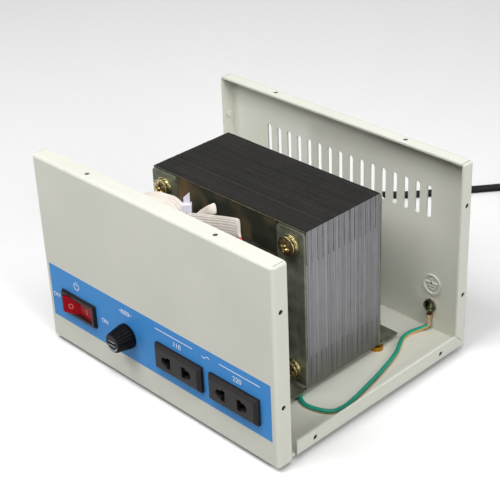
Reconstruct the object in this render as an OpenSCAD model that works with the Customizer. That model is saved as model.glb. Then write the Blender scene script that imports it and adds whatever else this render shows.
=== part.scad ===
// Step-up / step-down mains voltage converter with its top cover off.
// A folded steel chassis carries an E and I laminated transformer. The front panel holds a rocker
// switch, a screw-in fuse and two outlets, and the mains cord leaves through the rear panel.
// X runs across the front panel, Y runs from front to rear and Z is up.
// The origin is on the floor, below the middle of the chassis.

/* [Chassis] */
// Width across the front panel
chassis_w = 200; // [180:1:230]
// Depth from front face to rear face
chassis_d = 163; // [156:1:190]
// Height of the folded sheets, without the feet
chassis_h = 126; // [120:1:150]
// Thickness of the steel sheet
sheet_t = 1.2; // [1:0.1:1.4]
// Outer radius of every fold
bend_r = 2; // [1.8:0.1:2.6]
// Depth of the front panel's turned-in edges
front_flange = 10.3; // [8:0.1:12]
// Depth of the rear panel's turned-in edges
rear_flange = 9.3; // [8:0.1:12]
// Height of the base's turned-up edges
base_flange = 10.2; // [8:0.1:11]
// Distance from the front face to where the base's side edges start
flange_start = 14.5; // [12.5:0.5:20]
// Width of the open seam between two neighbouring edges
seam_w = 0.5; // [0.3:0.1:0.8]
// Height of a rubber foot
foot_h = 4; // [3.8:0.1:8]
// Radius of a rubber foot
foot_r = 8; // [6:0.5:11]
// Radius of the screw hole through a rubber foot
foot_hole_r = 2.1; // [1.6:0.1:2.6]
// Distance of a foot's middle from the chassis sides
foot_inset = 22; // [18:1:30]

/* [Cover screw holes] */
// Radius of the holes that take the cover's screws
cover_hole_r = 1.5; // [1.2:0.05:1.8]
// Distance of the top holes from the middle of the panel
top_hole_x = 53.5; // [30:0.5:70]
// Height of the lower side holes above the chassis bottom
side_hole_z = 38; // [25:1:50]
// Pitch between the lower and upper side holes
side_hole_pitch = 60; // [40:1:75]
// Distance of the first base edge hole from the front face
base_hole_y = 29; // [24:1:40]
// Pitch of the two holes in each base edge
base_hole_pitch = 110; // [80:1:112]

/* [Rear panel] */
// Number of ventilation slots
vent_count = 16; // [8:1:16]
// Pitch of the slots
vent_pitch = 8.9; // [7.5:0.1:9.5]
// Width of a slot
vent_w = 3.5; // [2.5:0.1:3.8]
// Length of a slot with its round ends
vent_len = 21; // [12:1:30]
// Height of the slots' middle above the chassis bottom
vent_z = 89; // [75:1:95]
// Distance of the slot row's middle from the panel's middle
vent_x = 2.8; // [0:0.1:6]
// Place of the earth screw across the panel
earth_x = 74; // [60:1:76]
// Height of the earth screw above the chassis bottom
earth_z = 18.5; // [17:0.5:30]
// Place of the cord entry across the panel
gland_x = -75; // [-78:1:-60]
// Height of the cord entry above the chassis bottom
gland_z = 26; // [22:1:45]

/* [Front fittings] */
// Height of the row of fittings above the chassis bottom
fit_z = 31.5; // [27:0.5:45]
// Place of the rocker switch across the panel
switch_x = -68.5; // [-74:0.5:-62]
// Length of the switch bezel
bezel_l = 32; // [31.5:0.1:36]
// Height of the switch bezel
bezel_h = 15.4; // [15:0.1:20]
// How far the bezel stands out of the panel
bezel_t = 2.2; // [1.5:0.1:3]
// Radius of the rocker's curved ends about its pivot
rocker_r = 13.2; // [11:0.1:13.4]
// Width of the rocker
rocker_w = 10.4; // [8:0.1:10.8]
// Slope of each half of the rocker's face
rocker_v = 14.3; // [8:0.1:16]
// Tilt of the rocker to either side
rocker_tilt = 9; // [6:0.5:10]
// Depth of the switch body behind the panel
switch_depth = 17; // [14:0.5:20]
// Place of the fuse holder across the panel
fuse_x = -23.5; // [-28:0.5:-18]
// Radius of the fuse cap at the panel
cap_base_r = 7.9; // [7.2:0.1:9]
// Radius of the fuse cap at its face
cap_face_r = 5.9; // [4.9:0.1:7]
// Length of the fuse cap in front of its collar
cap_l = 10.3; // [8:0.1:14]
// Number of grip grooves round the cap
cap_grooves = 24; // [16:1:32]
// Length of the fuse
fuse_l = 20; // [18:1:22]
// Radius of the fuse's end caps
fuse_r = 2.6; // [2.4:0.05:2.7]
// Place of the first outlet across the panel
outlet_x = 23; // [20:0.5:26]
// Pitch of the two outlets
outlet_pitch = 45; // [42:0.5:48]
// Length of an outlet's face
outlet_l = 39; // [36:0.5:40]
// Height of an outlet's face
outlet_h = 17; // [15:0.5:20]
// How far an outlet stands out of the panel
outlet_t = 3.6; // [2.5:0.1:5]
// Depth of an outlet behind the panel
outlet_depth = 16; // [14:0.5:18]
// Distance of a round pin's middle from the outlet's middle
round_pin_x = 9.5; // [9:0.1:9.8]
// Distance of a flat pin's middle from the outlet's middle
flat_pin_x = 6.4; // [6:0.05:6.8]

/* [Transformer] */
// Width of the laminated core
core_w = 126; // [114:1:132]
// Height of the laminated core
core_h = 103.7; // [100:0.1:105]
// Depth of the lamination stack
stack_d = 62; // [54:1:66]
// Number of alternating groups in the stack
lam_groups = 28; // [12:2:36]
// Place of the core's middle across the chassis
core_x = 3.5; // [0:0.5:5]
// Place of the core's middle from the middle of the chassis depth
core_y = 8.5; // [6:0.5:10]
// Gap between the base plate and the core
core_lift = 4.5; // [4:0.1:6]
// How far the end frames' feet reach below the core
frame_drop = 1.5; // [1:0.1:1.6]
// How far the coil stands out at the front and rear of the core
coil_out = 19; // [14:0.5:19]
// Thickness of the end frames
frame_t = 1.5; // [1.2:0.1:2]
// Width of an end frame's upright
upright_w = 20.6; // [16:0.1:20.8]
// Depth of an end frame's foot
frame_foot = 17.8; // [16:0.2:18]
// Radius of the clamp bolts
bolt_r = 3; // [2.5:0.1:3.2]
// Radius of the mounting screws
mount_r = 2.5; // [2:0.1:2.8]

/* [Cord] */
// Diameter of the mains cord
cord_d = 5.4; // [5:0.1:5.6]
// Diameter of the earth wire
earth_d = 2.8; // [2.4:0.1:3]
// Diameter of the inner leads
lead_d = 2.4; // [1.8:0.1:2.6]
// Length of the tapered strain relief behind the rear panel
relief_l = 26; // [20:1:30]
// Length of the plug body
plug_l = 38; // [32:1:44]

/* [Hidden] */
$fn = 48;

// Shared overrun of every cut, clearance round a piece that seats in a hole, and clearance of a bearing
over = 1;
seat_gap = 0.15;
bearing_gap = 0.05;
free_gap = 0.3;

// Levels and faces of the chassis
front_y = -chassis_d / 2;
rear_y = chassis_d / 2;
bottom_z = foot_h;
top_z = foot_h + chassis_h;
floor_top_z = bottom_z + sheet_t;
inner_front_y = front_y + sheet_t;
inner_rear_y = rear_y - sheet_t;
row_z = bottom_z + fit_z;

// The side legs and yokes of an E and I pair are a sixth of its width
leg_w = core_w / 6;
window_h = core_h - 2 * leg_w;
core_z = floor_top_z + core_lift;
core_front_y = core_y - stack_d / 2;
core_rear_y = core_y + stack_d / 2;
lam_t = stack_d / lam_groups;
window_z = core_z + leg_w;
bolt_px = core_w / 2 - leg_w / 2;
bolt_low_z = core_z + leg_w / 2;
bolt_high_z = core_z + core_h - leg_w / 2;
bolt_places = [for (sx = [-1, 1]) for (z = [bolt_low_z, bolt_high_z]) [core_x + sx * bolt_px, z]];

// A plate outline with rounded corners, centred on the origin
module round_plate(w, h, r) {
  square([w - 2 * r, h], center = true);
  square([w, h - 2 * r], center = true);
  for (sx = [-1, 1]) for (sy = [-1, 1]) translate([sx * (w / 2 - r), sy * (h / 2 - r)]) circle(r);
}

// A block whose plan, front and side outlines are all rounded
module soft_block(w, d, h, r_plan, r_front, r_side) {
  intersection() {
    linear_extrude(h, center = true) round_plate(w, d, r_plan);
    rotate([90, 0, 0]) linear_extrude(d, center = true) round_plate(w, h, r_front);
    rotate([90, 0, 90]) linear_extrude(w, center = true) round_plate(d, h, r_side);
  }
}

// A cylinder along Y from y0 to y1
module rod_y(x, z, y0, y1, r) translate([x, y0, z]) rotate([-90, 0, 0]) cylinder(h = y1 - y0, r = r);

// A cylinder along X from x0 to x1
module rod_x(y, z, x0, x1, r) translate([x0, y, z]) rotate([0, 90, 0]) cylinder(h = x1 - x0, r = r);

// A box between two corners
module span(a, b) translate(a) cube(b - a);

// Section: folded sheets

// A block with its plan and side corners rounded like folded sheet, front left bottom at the given corner
module folded_block(w, y0, y1, z0, z1, r) {
  d = y1 - y0;
  h = z1 - z0;
  translate([0, y0 + d / 2, z0 + h / 2]) intersection() {
    linear_extrude(h, center = true) round_plate(w, d, r);
    rotate([90, 0, 0]) linear_extrude(d, center = true) round_plate(w, h, r);
    rotate([90, 0, 90]) linear_extrude(w, center = true) round_plate(d, h, r);
  }
}

// Seams where a top edge ends beside the two side edges
module top_seams(y0, y1) {
  for (sx = [-1, 1]) translate([sx * (chassis_w / 2 - sheet_t - seam_w / 2), 0, 0])
    span([-seam_w / 2, y0, top_z - sheet_t - over], [seam_w / 2, y1, top_z + over]);
}

module cover_holes_side(y, z_list) {
  for (z = z_list) rod_x(y, z, -chassis_w / 2 - over, chassis_w / 2 + over, cover_hole_r);
}

switch_cut_l = 2 * rocker_r + 2.6;
switch_wall = 1.1;
recess_h = rocker_w + 0.4;
switch_body_l = switch_cut_l - 2 * seat_gap;
switch_body_h = recess_h + 2 * switch_wall;
holder_r = 6;
outlet_rim = 1.6;
outlet_body_l = outlet_l - 2 * outlet_rim;
outlet_body_h = outlet_h - 2 * outlet_rim;

module front_panel() {
  color("#D6D7CC") difference() {
    folded_block(chassis_w, front_y, front_y + 2 * front_flange, bottom_z - 2 * bend_r, top_z, bend_r);
    folded_block(chassis_w - 2 * sheet_t, inner_front_y, front_y + 3 * front_flange,
      bottom_z - 4 * bend_r, top_z - sheet_t, bend_r - sheet_t);
    span([-chassis_w, front_y + front_flange, 0], [chassis_w, front_y + 3 * front_flange, top_z + over]);
    span([-chassis_w, front_y - over, bottom_z - 4 * bend_r], [chassis_w, rear_y, bottom_z]);
    top_seams(front_y + bend_r, front_y + front_flange + over);
    for (sx = [-1, 1]) translate([sx * top_hole_x, front_y + front_flange / 2, top_z - sheet_t - over])
      cylinder(h = sheet_t + 2 * over, r = cover_hole_r);
    cover_holes_side(front_y + front_flange / 2, [for (k = [0, 1]) bottom_z + side_hole_z + k * side_hole_pitch]);
    span([switch_x - switch_cut_l / 2, front_y - over, row_z - switch_body_h / 2 - seat_gap],
      [switch_x + switch_cut_l / 2, inner_front_y + over, row_z + switch_body_h / 2 + seat_gap]);
    rod_y(fuse_x, row_z, front_y - over, inner_front_y + over, holder_r + seat_gap);
    for (k = [0, 1]) translate([outlet_x + k * outlet_pitch, 0, row_z])
      span([-outlet_body_l / 2 - seat_gap, front_y - over, -outlet_body_h / 2 - seat_gap],
        [outlet_body_l / 2 + seat_gap, inner_front_y + over, outlet_body_h / 2 + seat_gap]);
  }
}

lip_gap = 0.8;
mount_x = 35;
mount_foot_share = 0.5;
mount_y_front = core_front_y - frame_t - (frame_foot - frame_t) * mount_foot_share;
mount_y_rear = core_rear_y + frame_t + (frame_foot - frame_t) * mount_foot_share;
mount_places = [for (sx = [-1, 1]) for (y = [mount_y_front, mount_y_rear]) [core_x + sx * mount_x, y]];
gland_hole_r = 6.2;
earth_screw_r = 2;

// One ventilation slot with round ends
module vent() {
  half = vent_len / 2 - vent_w / 2;
  span([-vent_w / 2, inner_rear_y - over, -half], [vent_w / 2, rear_y + over, half]);
  for (s = [-1, 1]) rod_y(0, s * half, inner_rear_y - over, rear_y + over, vent_w / 2);
}

module chassis_tray() {
  color("#D3D4C9") difference() {
    folded_block(chassis_w, inner_front_y, rear_y, bottom_z, top_z, bend_r);
    folded_block(chassis_w - 2 * sheet_t, inner_front_y + sheet_t, inner_rear_y, floor_top_z,
      top_z - sheet_t, bend_r - sheet_t);
    span([-chassis_w, front_y, bottom_z + base_flange], [chassis_w, rear_y - rear_flange, top_z + over]);
    for (sx = [-1, 1]) translate([sx * (chassis_w / 2 + over - (sheet_t + lip_gap + over) / 2), 0, 0])
      span([-(sheet_t + lip_gap + over) / 2, front_y, 0],
        [(sheet_t + lip_gap + over) / 2, front_y + flange_start, bottom_z + base_flange + over]);
    // mitred seam between the base's side edge and the rear panel's side edge
    for (sx = [-1, 1]) translate([sx * (chassis_w / 2 - sheet_t / 2), rear_y - rear_flange, bottom_z + base_flange])
      rotate([-45, 0, 0]) cube([sheet_t + over, 2 * (rear_flange - bend_r), seam_w], center = true);
    top_seams(rear_y - rear_flange - over, rear_y - bend_r);
    for (sx = [-1, 1]) translate([sx * top_hole_x, rear_y - rear_flange / 2, top_z - sheet_t - over])
      cylinder(h = sheet_t + 2 * over, r = cover_hole_r);
    cover_holes_side(rear_y - rear_flange / 2, [for (k = [0, 1]) bottom_z + side_hole_z + k * side_hole_pitch]);
    for (k = [0, 1]) cover_holes_side(front_y + base_hole_y + k * base_hole_pitch, [bottom_z + base_flange / 2]);
    for (k = [0:vent_count - 1])
      translate([vent_x + (k - (vent_count - 1) / 2) * vent_pitch, 0, bottom_z + vent_z]) vent();
    rod_y(gland_x, bottom_z + gland_z, inner_rear_y - over, rear_y + over, gland_hole_r);
    rod_y(earth_x, bottom_z + earth_z, inner_rear_y - over, rear_y + over, earth_screw_r + seat_gap);
    for (p = mount_places) translate([p[0], p[1], bottom_z - over])
      cylinder(h = sheet_t + 2 * over, r = mount_r + seat_gap);
  }
}

foot_top_share = 0.85;
foot_skirt_share = 0.3;
module rubber_feet() {
  color("#1E1E20") for (sx = [-1, 1]) for (sy = [-1, 1])
    translate([sx * (chassis_w / 2 - foot_inset), sy * (chassis_d / 2 - foot_inset), 0])
      rotate_extrude() polygon([[foot_hole_r, 0], [foot_r * foot_top_share, 0], [foot_r, foot_h * foot_skirt_share],
        [foot_r, foot_h], [foot_hole_r, foot_h]]);
}

// Section: rocker switch

pivot_in = 3;
pivot_y = front_y + pivot_in;
recess_l = 2 * rocker_r + 0.5;
rocker_belly = 1.5;
recess_floor_y = pivot_y + 4.2;
trunnion_r = 1.2;
trunnion_l = 0.9;
bezel_slope = 1.2;

module switch_housing() {
  color("#2B2729") difference() {
    union() {
      translate([switch_x, front_y, row_z]) rotate([90, 0, 0]) {
        linear_extrude(bezel_t / 2) square([bezel_l, bezel_h], center = true);
        translate([0, 0, bezel_t / 2])
          linear_extrude(bezel_t / 2) square([bezel_l - bezel_slope, bezel_h - bezel_slope], center = true);
      }
      span([switch_x - switch_body_l / 2, front_y, row_z - switch_body_h / 2],
        [switch_x + switch_body_l / 2, inner_front_y + switch_depth, row_z + switch_body_h / 2]);
    }
    span([switch_x - recess_l / 2, front_y - bezel_t - over, row_z - recess_h / 2],
      [switch_x + recess_l / 2, recess_floor_y, row_z + recess_h / 2]);
    translate([switch_x, pivot_y, row_z - switch_body_h / 2 - over])
      cylinder(h = switch_body_h + 2 * over, r = trunnion_r + bearing_gap);
  }
}

// The rocker stands with its right half pressed in, as in the photograph
module switch_rocker() {
  end_v = tan(rocker_v) * rocker_r;
  color("#B31428") translate([switch_x, pivot_y, row_z]) rotate([0, 0, rocker_tilt]) {
    intersection() {
      cylinder(h = rocker_w, r = rocker_r, center = true, $fn = 96);
      linear_extrude(rocker_w, center = true)
        polygon([[-rocker_r, rocker_belly], [-rocker_r, -pivot_in - end_v], [0, -pivot_in],
          [rocker_r, -pivot_in - end_v], [rocker_r, rocker_belly]]);
    }
    cylinder(h = rocker_w + 2 * trunnion_l, r = trunnion_r, center = true);
  }
}

blade_w = 4.8;
blade_t = 0.8;
blade_l = 8;
switch_blade_x = 7;
switch_back_y = inner_front_y + switch_depth;
module switch_terminals() {
  color("#C9B458") for (sx = [-1, 1]) translate([switch_x + sx * switch_blade_x, switch_back_y, row_z])
    span([-blade_t / 2, 0, -blade_w / 2], [blade_t / 2, blade_l, blade_w / 2]);
}

// Section: fuse holder

collar_r = cap_base_r;
collar_t = 1.4;
holder_bore_r = 3.7;
stem_r = holder_bore_r - bearing_gap;
holder_depth = 27;
holder_back_y = inner_front_y + holder_depth;
holder_nut_af = 17;
holder_nut_t = 3.5;
cap_y0 = front_y - collar_t - free_gap;
cap_face_y = cap_y0 - cap_l;
stem_in = 9;
stem_end_y = front_y + stem_in;
socket_depth = 4;
fuse_front_y = stem_end_y - socket_depth;
fuse_rear_y = fuse_front_y + fuse_l;
fuse_cap_share = 0.28;
fuse_glass_share = 0.88;

module fuse_holder_body() {
  color("#1B1B1D") difference() {
    union() {
      rod_y(fuse_x, row_z, front_y - collar_t, front_y, collar_r);
      rod_y(fuse_x, row_z, front_y, holder_back_y, holder_r);
    }
    rod_y(fuse_x, row_z, front_y - collar_t - over, fuse_rear_y + free_gap, holder_bore_r);
  }
}

module fuse_holder_nut() {
  color("#26262A") difference() {
    translate([fuse_x, inner_front_y, row_z]) rotate([-90, 0, 0])
      cylinder(h = holder_nut_t, r = holder_nut_af / sqrt(3), $fn = 6);
    rod_y(fuse_x, row_z, inner_front_y - over, inner_front_y + holder_nut_t + over, holder_r + bearing_gap);
  }
}

module fuse_holder_terminals() {
  tail_z = 2;
  color("#C9B458") {
    translate([fuse_x, holder_back_y, row_z]) span([-blade_w / 2, 0, -blade_t / 2], [blade_w / 2, blade_l, blade_t / 2]);
    translate([fuse_x, holder_back_y - blade_l - tail_z, row_z + holder_r])
      span([-blade_w / 2, 0, 0], [blade_w / 2, blade_l + tail_z, blade_t]);
  }
}

groove_r = 0.55;
cap_slot_w = 1.6;
cap_slot_depth = 0.8;
cap_edge = 0.8;
module fuse_cap() {
  color("#161618") difference() {
    union() {
      translate([fuse_x, cap_y0, row_z]) rotate([90, 0, 0]) rotate_extrude(convexity = 4)
        polygon([[0, 0], [cap_base_r, 0], [cap_base_r, cap_edge], [cap_face_r + cap_edge / 2, cap_l - cap_edge],
          [cap_face_r - cap_edge / 2, cap_l], [0, cap_l]]);
      rod_y(fuse_x, row_z, cap_y0, stem_end_y, stem_r);
    }
    rod_y(fuse_x, row_z, fuse_front_y, stem_end_y + over, fuse_r + bearing_gap);
    translate([fuse_x, cap_y0, row_z]) for (k = [0:cap_grooves - 1]) rotate([0, k * 360 / cap_grooves, 0])
      translate([cap_base_r + groove_r / 3, over, 0])
        rotate([90, 0, 0]) rotate([0, -atan((cap_base_r - cap_face_r) / cap_l), 0])
          cylinder(h = cap_l + 2 * over, r = groove_r, $fn = 14);
    span([fuse_x - cap_face_r / 2, cap_face_y - over, row_z - cap_slot_w / 2],
      [fuse_x + cap_face_r / 2, cap_face_y + cap_slot_depth, row_z + cap_slot_w / 2]);
  }
}

module fuse_glass() {
  cap_part = fuse_l * fuse_cap_share;
  color("#CFE4E8") rod_y(fuse_x, row_z, fuse_front_y + cap_part, fuse_rear_y - cap_part, fuse_r * fuse_glass_share);
}

module fuse_end_caps() {
  cap_part = fuse_l * fuse_cap_share;
  color("#D9D9DC") for (y = [fuse_front_y, fuse_rear_y - cap_part]) rod_y(fuse_x, row_z, y, y + cap_part, fuse_r);
}

// Section: outlets

face_slope = 2;
pin_depth = 17.5;
round_hole_r = 2.8;
flat_hole_w = 3.2;
flat_hole_h = 7.4;
throat_h = 4.6;
outlet_face_y = front_y - outlet_t;
outlet_back_y = inner_front_y + outlet_depth;
cavity_end_y = outlet_face_y + pin_depth;

// A keyhole cavity that takes a round pin on its outer side and a flat pin on its inner side
module keyhole(sx) {
  y0 = outlet_face_y - over;
  rod_y(sx * round_pin_x, 0, y0, cavity_end_y, round_hole_r);
  translate([sx * flat_pin_x, 0, 0])
    span([-flat_hole_w / 2, y0, -flat_hole_h / 2], [flat_hole_w / 2, cavity_end_y, flat_hole_h / 2]);
  translate([sx * (flat_pin_x + round_pin_x) / 2, 0, 0])
    span([-(round_pin_x - flat_pin_x) / 2, y0, -throat_h / 2], [(round_pin_x - flat_pin_x) / 2, cavity_end_y, throat_h / 2]);
}

// The face's front edges slope back to the panel on all four sides
module outlet_face() {
  half_l = outlet_l / 2;
  half_h = outlet_h / 2;
  intersection() {
    span([-half_l, outlet_face_y, -half_h], [half_l, front_y, half_h]);
    rotate([90, 0, 90]) linear_extrude(outlet_l, center = true)
      polygon([[front_y, -half_h], [front_y, half_h], [front_y - outlet_t / 2, half_h],
        [outlet_face_y, half_h - face_slope], [outlet_face_y, face_slope - half_h], [front_y - outlet_t / 2, -half_h]]);
    linear_extrude(outlet_h, center = true)
      polygon([[-half_l, front_y], [half_l, front_y], [half_l, front_y - outlet_t / 2],
        [half_l - face_slope, outlet_face_y], [face_slope - half_l, outlet_face_y], [-half_l, front_y - outlet_t / 2]]);
  }
}

module outlet_body(index) {
  color("#2A2526") translate([outlet_x + index * outlet_pitch, 0, row_z]) difference() {
    union() {
      outlet_face();
      span([-outlet_body_l / 2, front_y, -outlet_body_h / 2], [outlet_body_l / 2, outlet_back_y, outlet_body_h / 2]);
    }
    for (sx = [-1, 1]) {
      keyhole(sx);
      span([sx * flat_pin_x - blade_t / 2 - seat_gap, cavity_end_y - over, -blade_w / 2 - seat_gap],
        [sx * flat_pin_x + blade_t / 2 + seat_gap, outlet_back_y + over, blade_w / 2 + seat_gap]);
    }
  }
}

module outlet_1_body() outlet_body(0);
module outlet_2_body() outlet_body(1);

// A brass U clip at the end of each cavity, with its tab out of the back
leaf_t = 0.5;
leaf_l = 4;
module outlet_contacts(index) {
  color("#C9A94A") translate([outlet_x + index * outlet_pitch, 0, row_z]) for (sx = [-1, 1])
    translate([sx * flat_pin_x, 0, 0]) {
      span([-flat_hole_w / 2 + seat_gap, cavity_end_y - leaf_t, -blade_w / 2], [flat_hole_w / 2 - seat_gap, cavity_end_y, blade_w / 2]);
      for (s = [-1, 1]) translate([s * (flat_hole_w / 2 - seat_gap - leaf_t / 2), 0, 0])
        span([-leaf_t / 2, cavity_end_y - leaf_l, -blade_w / 2], [leaf_t / 2, cavity_end_y, blade_w / 2]);
      span([-blade_t / 2, cavity_end_y - leaf_t, -blade_w / 2], [blade_t / 2, outlet_back_y + blade_l, blade_w / 2]);
    }
}

module outlet_1_contacts() outlet_contacts(0);
module outlet_2_contacts() outlet_contacts(1);

// Section: transformer core

bolt_gap = 0.4;
// How far each group of sheets stands out sideways and upwards, as shares of the jitter
jitter = 0.25;
jitter_x_shares = [0, 0.8, -0.5, 0.3, -0.9, 0.5, -0.2];
jitter_z_shares = [0.2, 0, 0.6, 0.1, 0.8, 0.3, 0.5, 0.9, 0.4];

function shift_of(k) = [
  jitter * jitter_x_shares[k % len(jitter_x_shares)], 0,
  jitter * jitter_z_shares[k % len(jitter_z_shares)]];

// Outline of one E piece, in core coordinates with its yoke at the bottom
half_w = core_w / 2;
e_points = [[-half_w, 0], [half_w, 0], [half_w, core_h - leg_w], [half_w - leg_w, core_h - leg_w],
  [half_w - leg_w, leg_w], [leg_w, leg_w], [leg_w, core_h - leg_w], [-leg_w, core_h - leg_w],
  [-leg_w, leg_w], [leg_w - half_w, leg_w], [leg_w - half_w, core_h - leg_w], [-half_w, core_h - leg_w]];
i_points = [[-half_w, core_h - leg_w], [half_w, core_h - leg_w], [half_w, core_h], [-half_w, core_h]];

// One group of sheets with its two bolt holes, the holes at the given height. Varnish parts it from the next group
varnish_t = 0.04;
module group(points, hole_z) {
  difference() {
    rotate([90, 0, 0]) linear_extrude(lam_t - varnish_t) polygon(points);
    for (sx = [-1, 1]) rod_y(sx * bolt_px, hole_z, -lam_t - over, over, bolt_r + bolt_gap);
  }
}

// Each second group is turned upside down, so the joints alternate
module stack() {
  for (k = [0:lam_groups - 1])
    translate([core_x, core_front_y + k * lam_t, core_z] + shift_of(k))
      translate([0, lam_t, k % 2 == 0 ? 0 : core_h]) mirror([0, 0, k % 2]) children();
}

module core_e_laminations() color("#6F6E70") stack() group(e_points, leg_w / 2);

module core_i_laminations() color("#77767A") stack() group(i_points, core_h - leg_w / 2);

// Section: coil

spool_gap = 0.6;
spool_wall = 2;
spool_w = 2 * leg_w + 2 * spool_gap;
spool_d = stack_d + 2 * spool_gap;
cheek_t = 2;
wrap_t = 1.6;
coil_side = leg_w * 2 - 0.9;
coil_half_d = stack_d / 2 + coil_out;
head_rise = 5;
coil_mid_z = window_z + window_h / 2;
copper_h = window_h - 2 * (spool_gap + cheek_t + wrap_t);
wrap_h = window_h - 2 * (spool_gap + cheek_t);

module spool_hole(extra, h) {
  cube([spool_w + 2 * extra, spool_d + 2 * extra, h], center = true);
}

module bobbin() {
  outer_h = window_h - 2 * spool_gap;
  color("#E8E2CF") translate([core_x, core_y, coil_mid_z]) difference() {
    union() {
      spool_hole(spool_wall, outer_h);
      for (s = [-1, 1]) translate([0, 0, s * (outer_h - cheek_t) / 2])
        cube([2 * coil_side, spool_d + 2 * spool_wall, cheek_t], center = true);
    }
    spool_hole(0, outer_h + 2 * over);
  }
}

module copper_winding() {
  color("#B5703A") translate([core_x, core_y, coil_mid_z]) difference() {
    linear_extrude(copper_h - 2 * free_gap, center = true)
      round_plate(2 * (coil_side - wrap_t - free_gap), 2 * (coil_half_d - wrap_t - free_gap), leg_w / 2);
    spool_hole(spool_wall + free_gap, copper_h + 2 * over);
  }
}

// The wrapped coil fills the window, and its two heads stand out and bulge up over the yokes
module coil_wrap() {
  head_d = coil_out - spool_gap;
  head_h = window_h + 2 * head_rise - head_rise;
  color("#1F1D1C") translate([core_x, core_y, coil_mid_z]) difference() {
    union() {
      linear_extrude(wrap_h, center = true) round_plate(2 * coil_side, 2 * coil_half_d, leg_w / 2);
      for (s = [-1, 1]) translate([0, s * (coil_half_d - head_d / 2), head_rise / 2])
        soft_block(2 * coil_side - 2 * head_rise, head_d, head_h, leg_w / 3, leg_w / 2, leg_w / 3);
    }
    linear_extrude(copper_h, center = true)
      round_plate(2 * (coil_side - wrap_t), 2 * (coil_half_d - wrap_t), leg_w / 2);
    spool_hole(spool_wall, window_h + 4 * head_rise);
    cube([2 * coil_side + 2 * over, spool_d + 2 * spool_wall, window_h * 2], center = true);
  }
  color("#1F1D1C") translate([core_x, core_y, coil_mid_z]) difference() {
    cube([2 * coil_side, spool_d + 2 * spool_wall, wrap_h], center = true);
    cube([2 * (coil_side - wrap_t), spool_d + 2 * spool_wall + 2 * over, copper_h], center = true);
    spool_hole(spool_wall, window_h);
  }
}

// Section: end frames and clamp bolts

upright_top = core_z + core_h - 0.8;
rail_h = leg_w * 0.8;
frame_z = core_z - frame_drop;
pad_h = frame_z - floor_top_z;
frame_half = bolt_px + upright_w / 2;
frame_corner_r = 2;

// Profile of rail and foot as one folded strip, in Y and Z with the core face at y = 0 and Y outwards
module rail_profile() {
  difference() {
    union() {
      translate([0, bend_r]) square([frame_t, rail_h - bend_r]);
      translate([bend_r, 0]) square([frame_foot - bend_r, frame_t]);
      translate([bend_r, bend_r]) circle(bend_r);
    }
    translate([frame_t, frame_t]) square([bend_r, bend_r]);
  }
}

module end_frame() {
  difference() {
    union() {
      rotate([90, 0, 90]) linear_extrude(2 * frame_half, center = true) rail_profile();
      for (sx = [-1, 1]) translate([sx * bolt_px, frame_t, 0]) rotate([90, 0, 0]) linear_extrude(frame_t) {
        translate([-upright_w / 2, rail_h / 2]) square([upright_w, upright_top - frame_z - rail_h / 2 - frame_corner_r]);
        translate([-upright_w / 2 + frame_corner_r, rail_h / 2])
          square([upright_w - 2 * frame_corner_r, upright_top - frame_z - rail_h / 2]);
        for (s = [-1, 1]) translate([s * (upright_w / 2 - frame_corner_r), upright_top - frame_z - frame_corner_r])
          circle(frame_corner_r);
      }
    }
    for (sx = [-1, 1]) for (z = [bolt_low_z, bolt_high_z])
      rod_y(sx * bolt_px, z - frame_z, -over, frame_t + over, bolt_r + bolt_gap);
    for (sx = [-1, 1]) translate([sx * mount_x, frame_t + (frame_foot - frame_t) * mount_foot_share, -over])
      cylinder(h = frame_t + 2 * over, r = mount_r + bolt_gap);
  }
}

module end_frame_front() {
  color("#6E746C") translate([core_x, core_front_y, frame_z]) mirror([0, 1, 0]) end_frame();
}

module end_frame_rear() {
  color("#6E746C") translate([core_x, core_rear_y, frame_z]) end_frame();
}

flat_washer_r = 6.3;
flat_washer_t = 0.8;
spring_washer_r = 5.3;
spring_washer_t = 1.2;
bolt_head_r = 6;
bolt_head_h = 3.2;
nut_af = 10;
nut_t = 5;
thread_end = 3;
clamp_front_y = core_front_y - frame_t;
clamp_rear_y = core_rear_y + frame_t;
head_seat_y = clamp_front_y - flat_washer_t - spring_washer_t;
nut_seat_y = clamp_rear_y + flat_washer_t;
cross_l = 6.5;
cross_w = 1.5;
cross_depth = 1.6;

// A pan head with a cross recess, its seat at y = 0 and facing -Y
module pan_head(r, h, slot_l, slot_w, depth) {
  difference() {
    rotate([90, 0, 0]) rotate_extrude() difference() {
      union() {
        square([r, h * 0.55]);
        intersection() {
          square([r, h]);
          translate([0, h - r * 1.4]) circle(r * 1.4);
        }
      }
      translate([-r, -over]) square([r, h + 2 * over]);
    }
    for (a = [0, 90]) rotate([0, a + 20, 0])
      span([-slot_l / 2, -h - over, -slot_w / 2], [slot_l / 2, -h + depth, slot_w / 2]);
  }
}

module clamp_bolts() {
  color("#B59A4A") for (p = bolt_places) {
    translate([p[0], head_seat_y, p[1]]) pan_head(bolt_head_r, bolt_head_h, cross_l, cross_w, cross_depth);
    rod_y(p[0], p[1], head_seat_y, nut_seat_y + nut_t + thread_end, bolt_r);
  }
}

module washer_y(x, z, y, t, r, hole) {
  difference() {
    rod_y(x, z, y, y + t, r);
    rod_y(x, z, y - over, y + t + over, hole);
  }
}

module clamp_flat_washers() {
  color("#C7B36A") for (p = bolt_places) for (y = [clamp_front_y - flat_washer_t, clamp_rear_y])
    washer_y(p[0], p[1], y, flat_washer_t, flat_washer_r, bolt_r + bolt_gap);
}

split_w = 1;
module clamp_spring_washers() {
  color("#D8CFA0") for (p = bolt_places) difference() {
    washer_y(p[0], p[1], head_seat_y, spring_washer_t, spring_washer_r, bolt_r + bolt_gap);
    translate([p[0], head_seat_y, p[1]]) rotate([0, -70, 0])
      span([0, -over, -split_w / 2], [spring_washer_r + over, spring_washer_t + over, split_w / 2]);
  }
}

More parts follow.
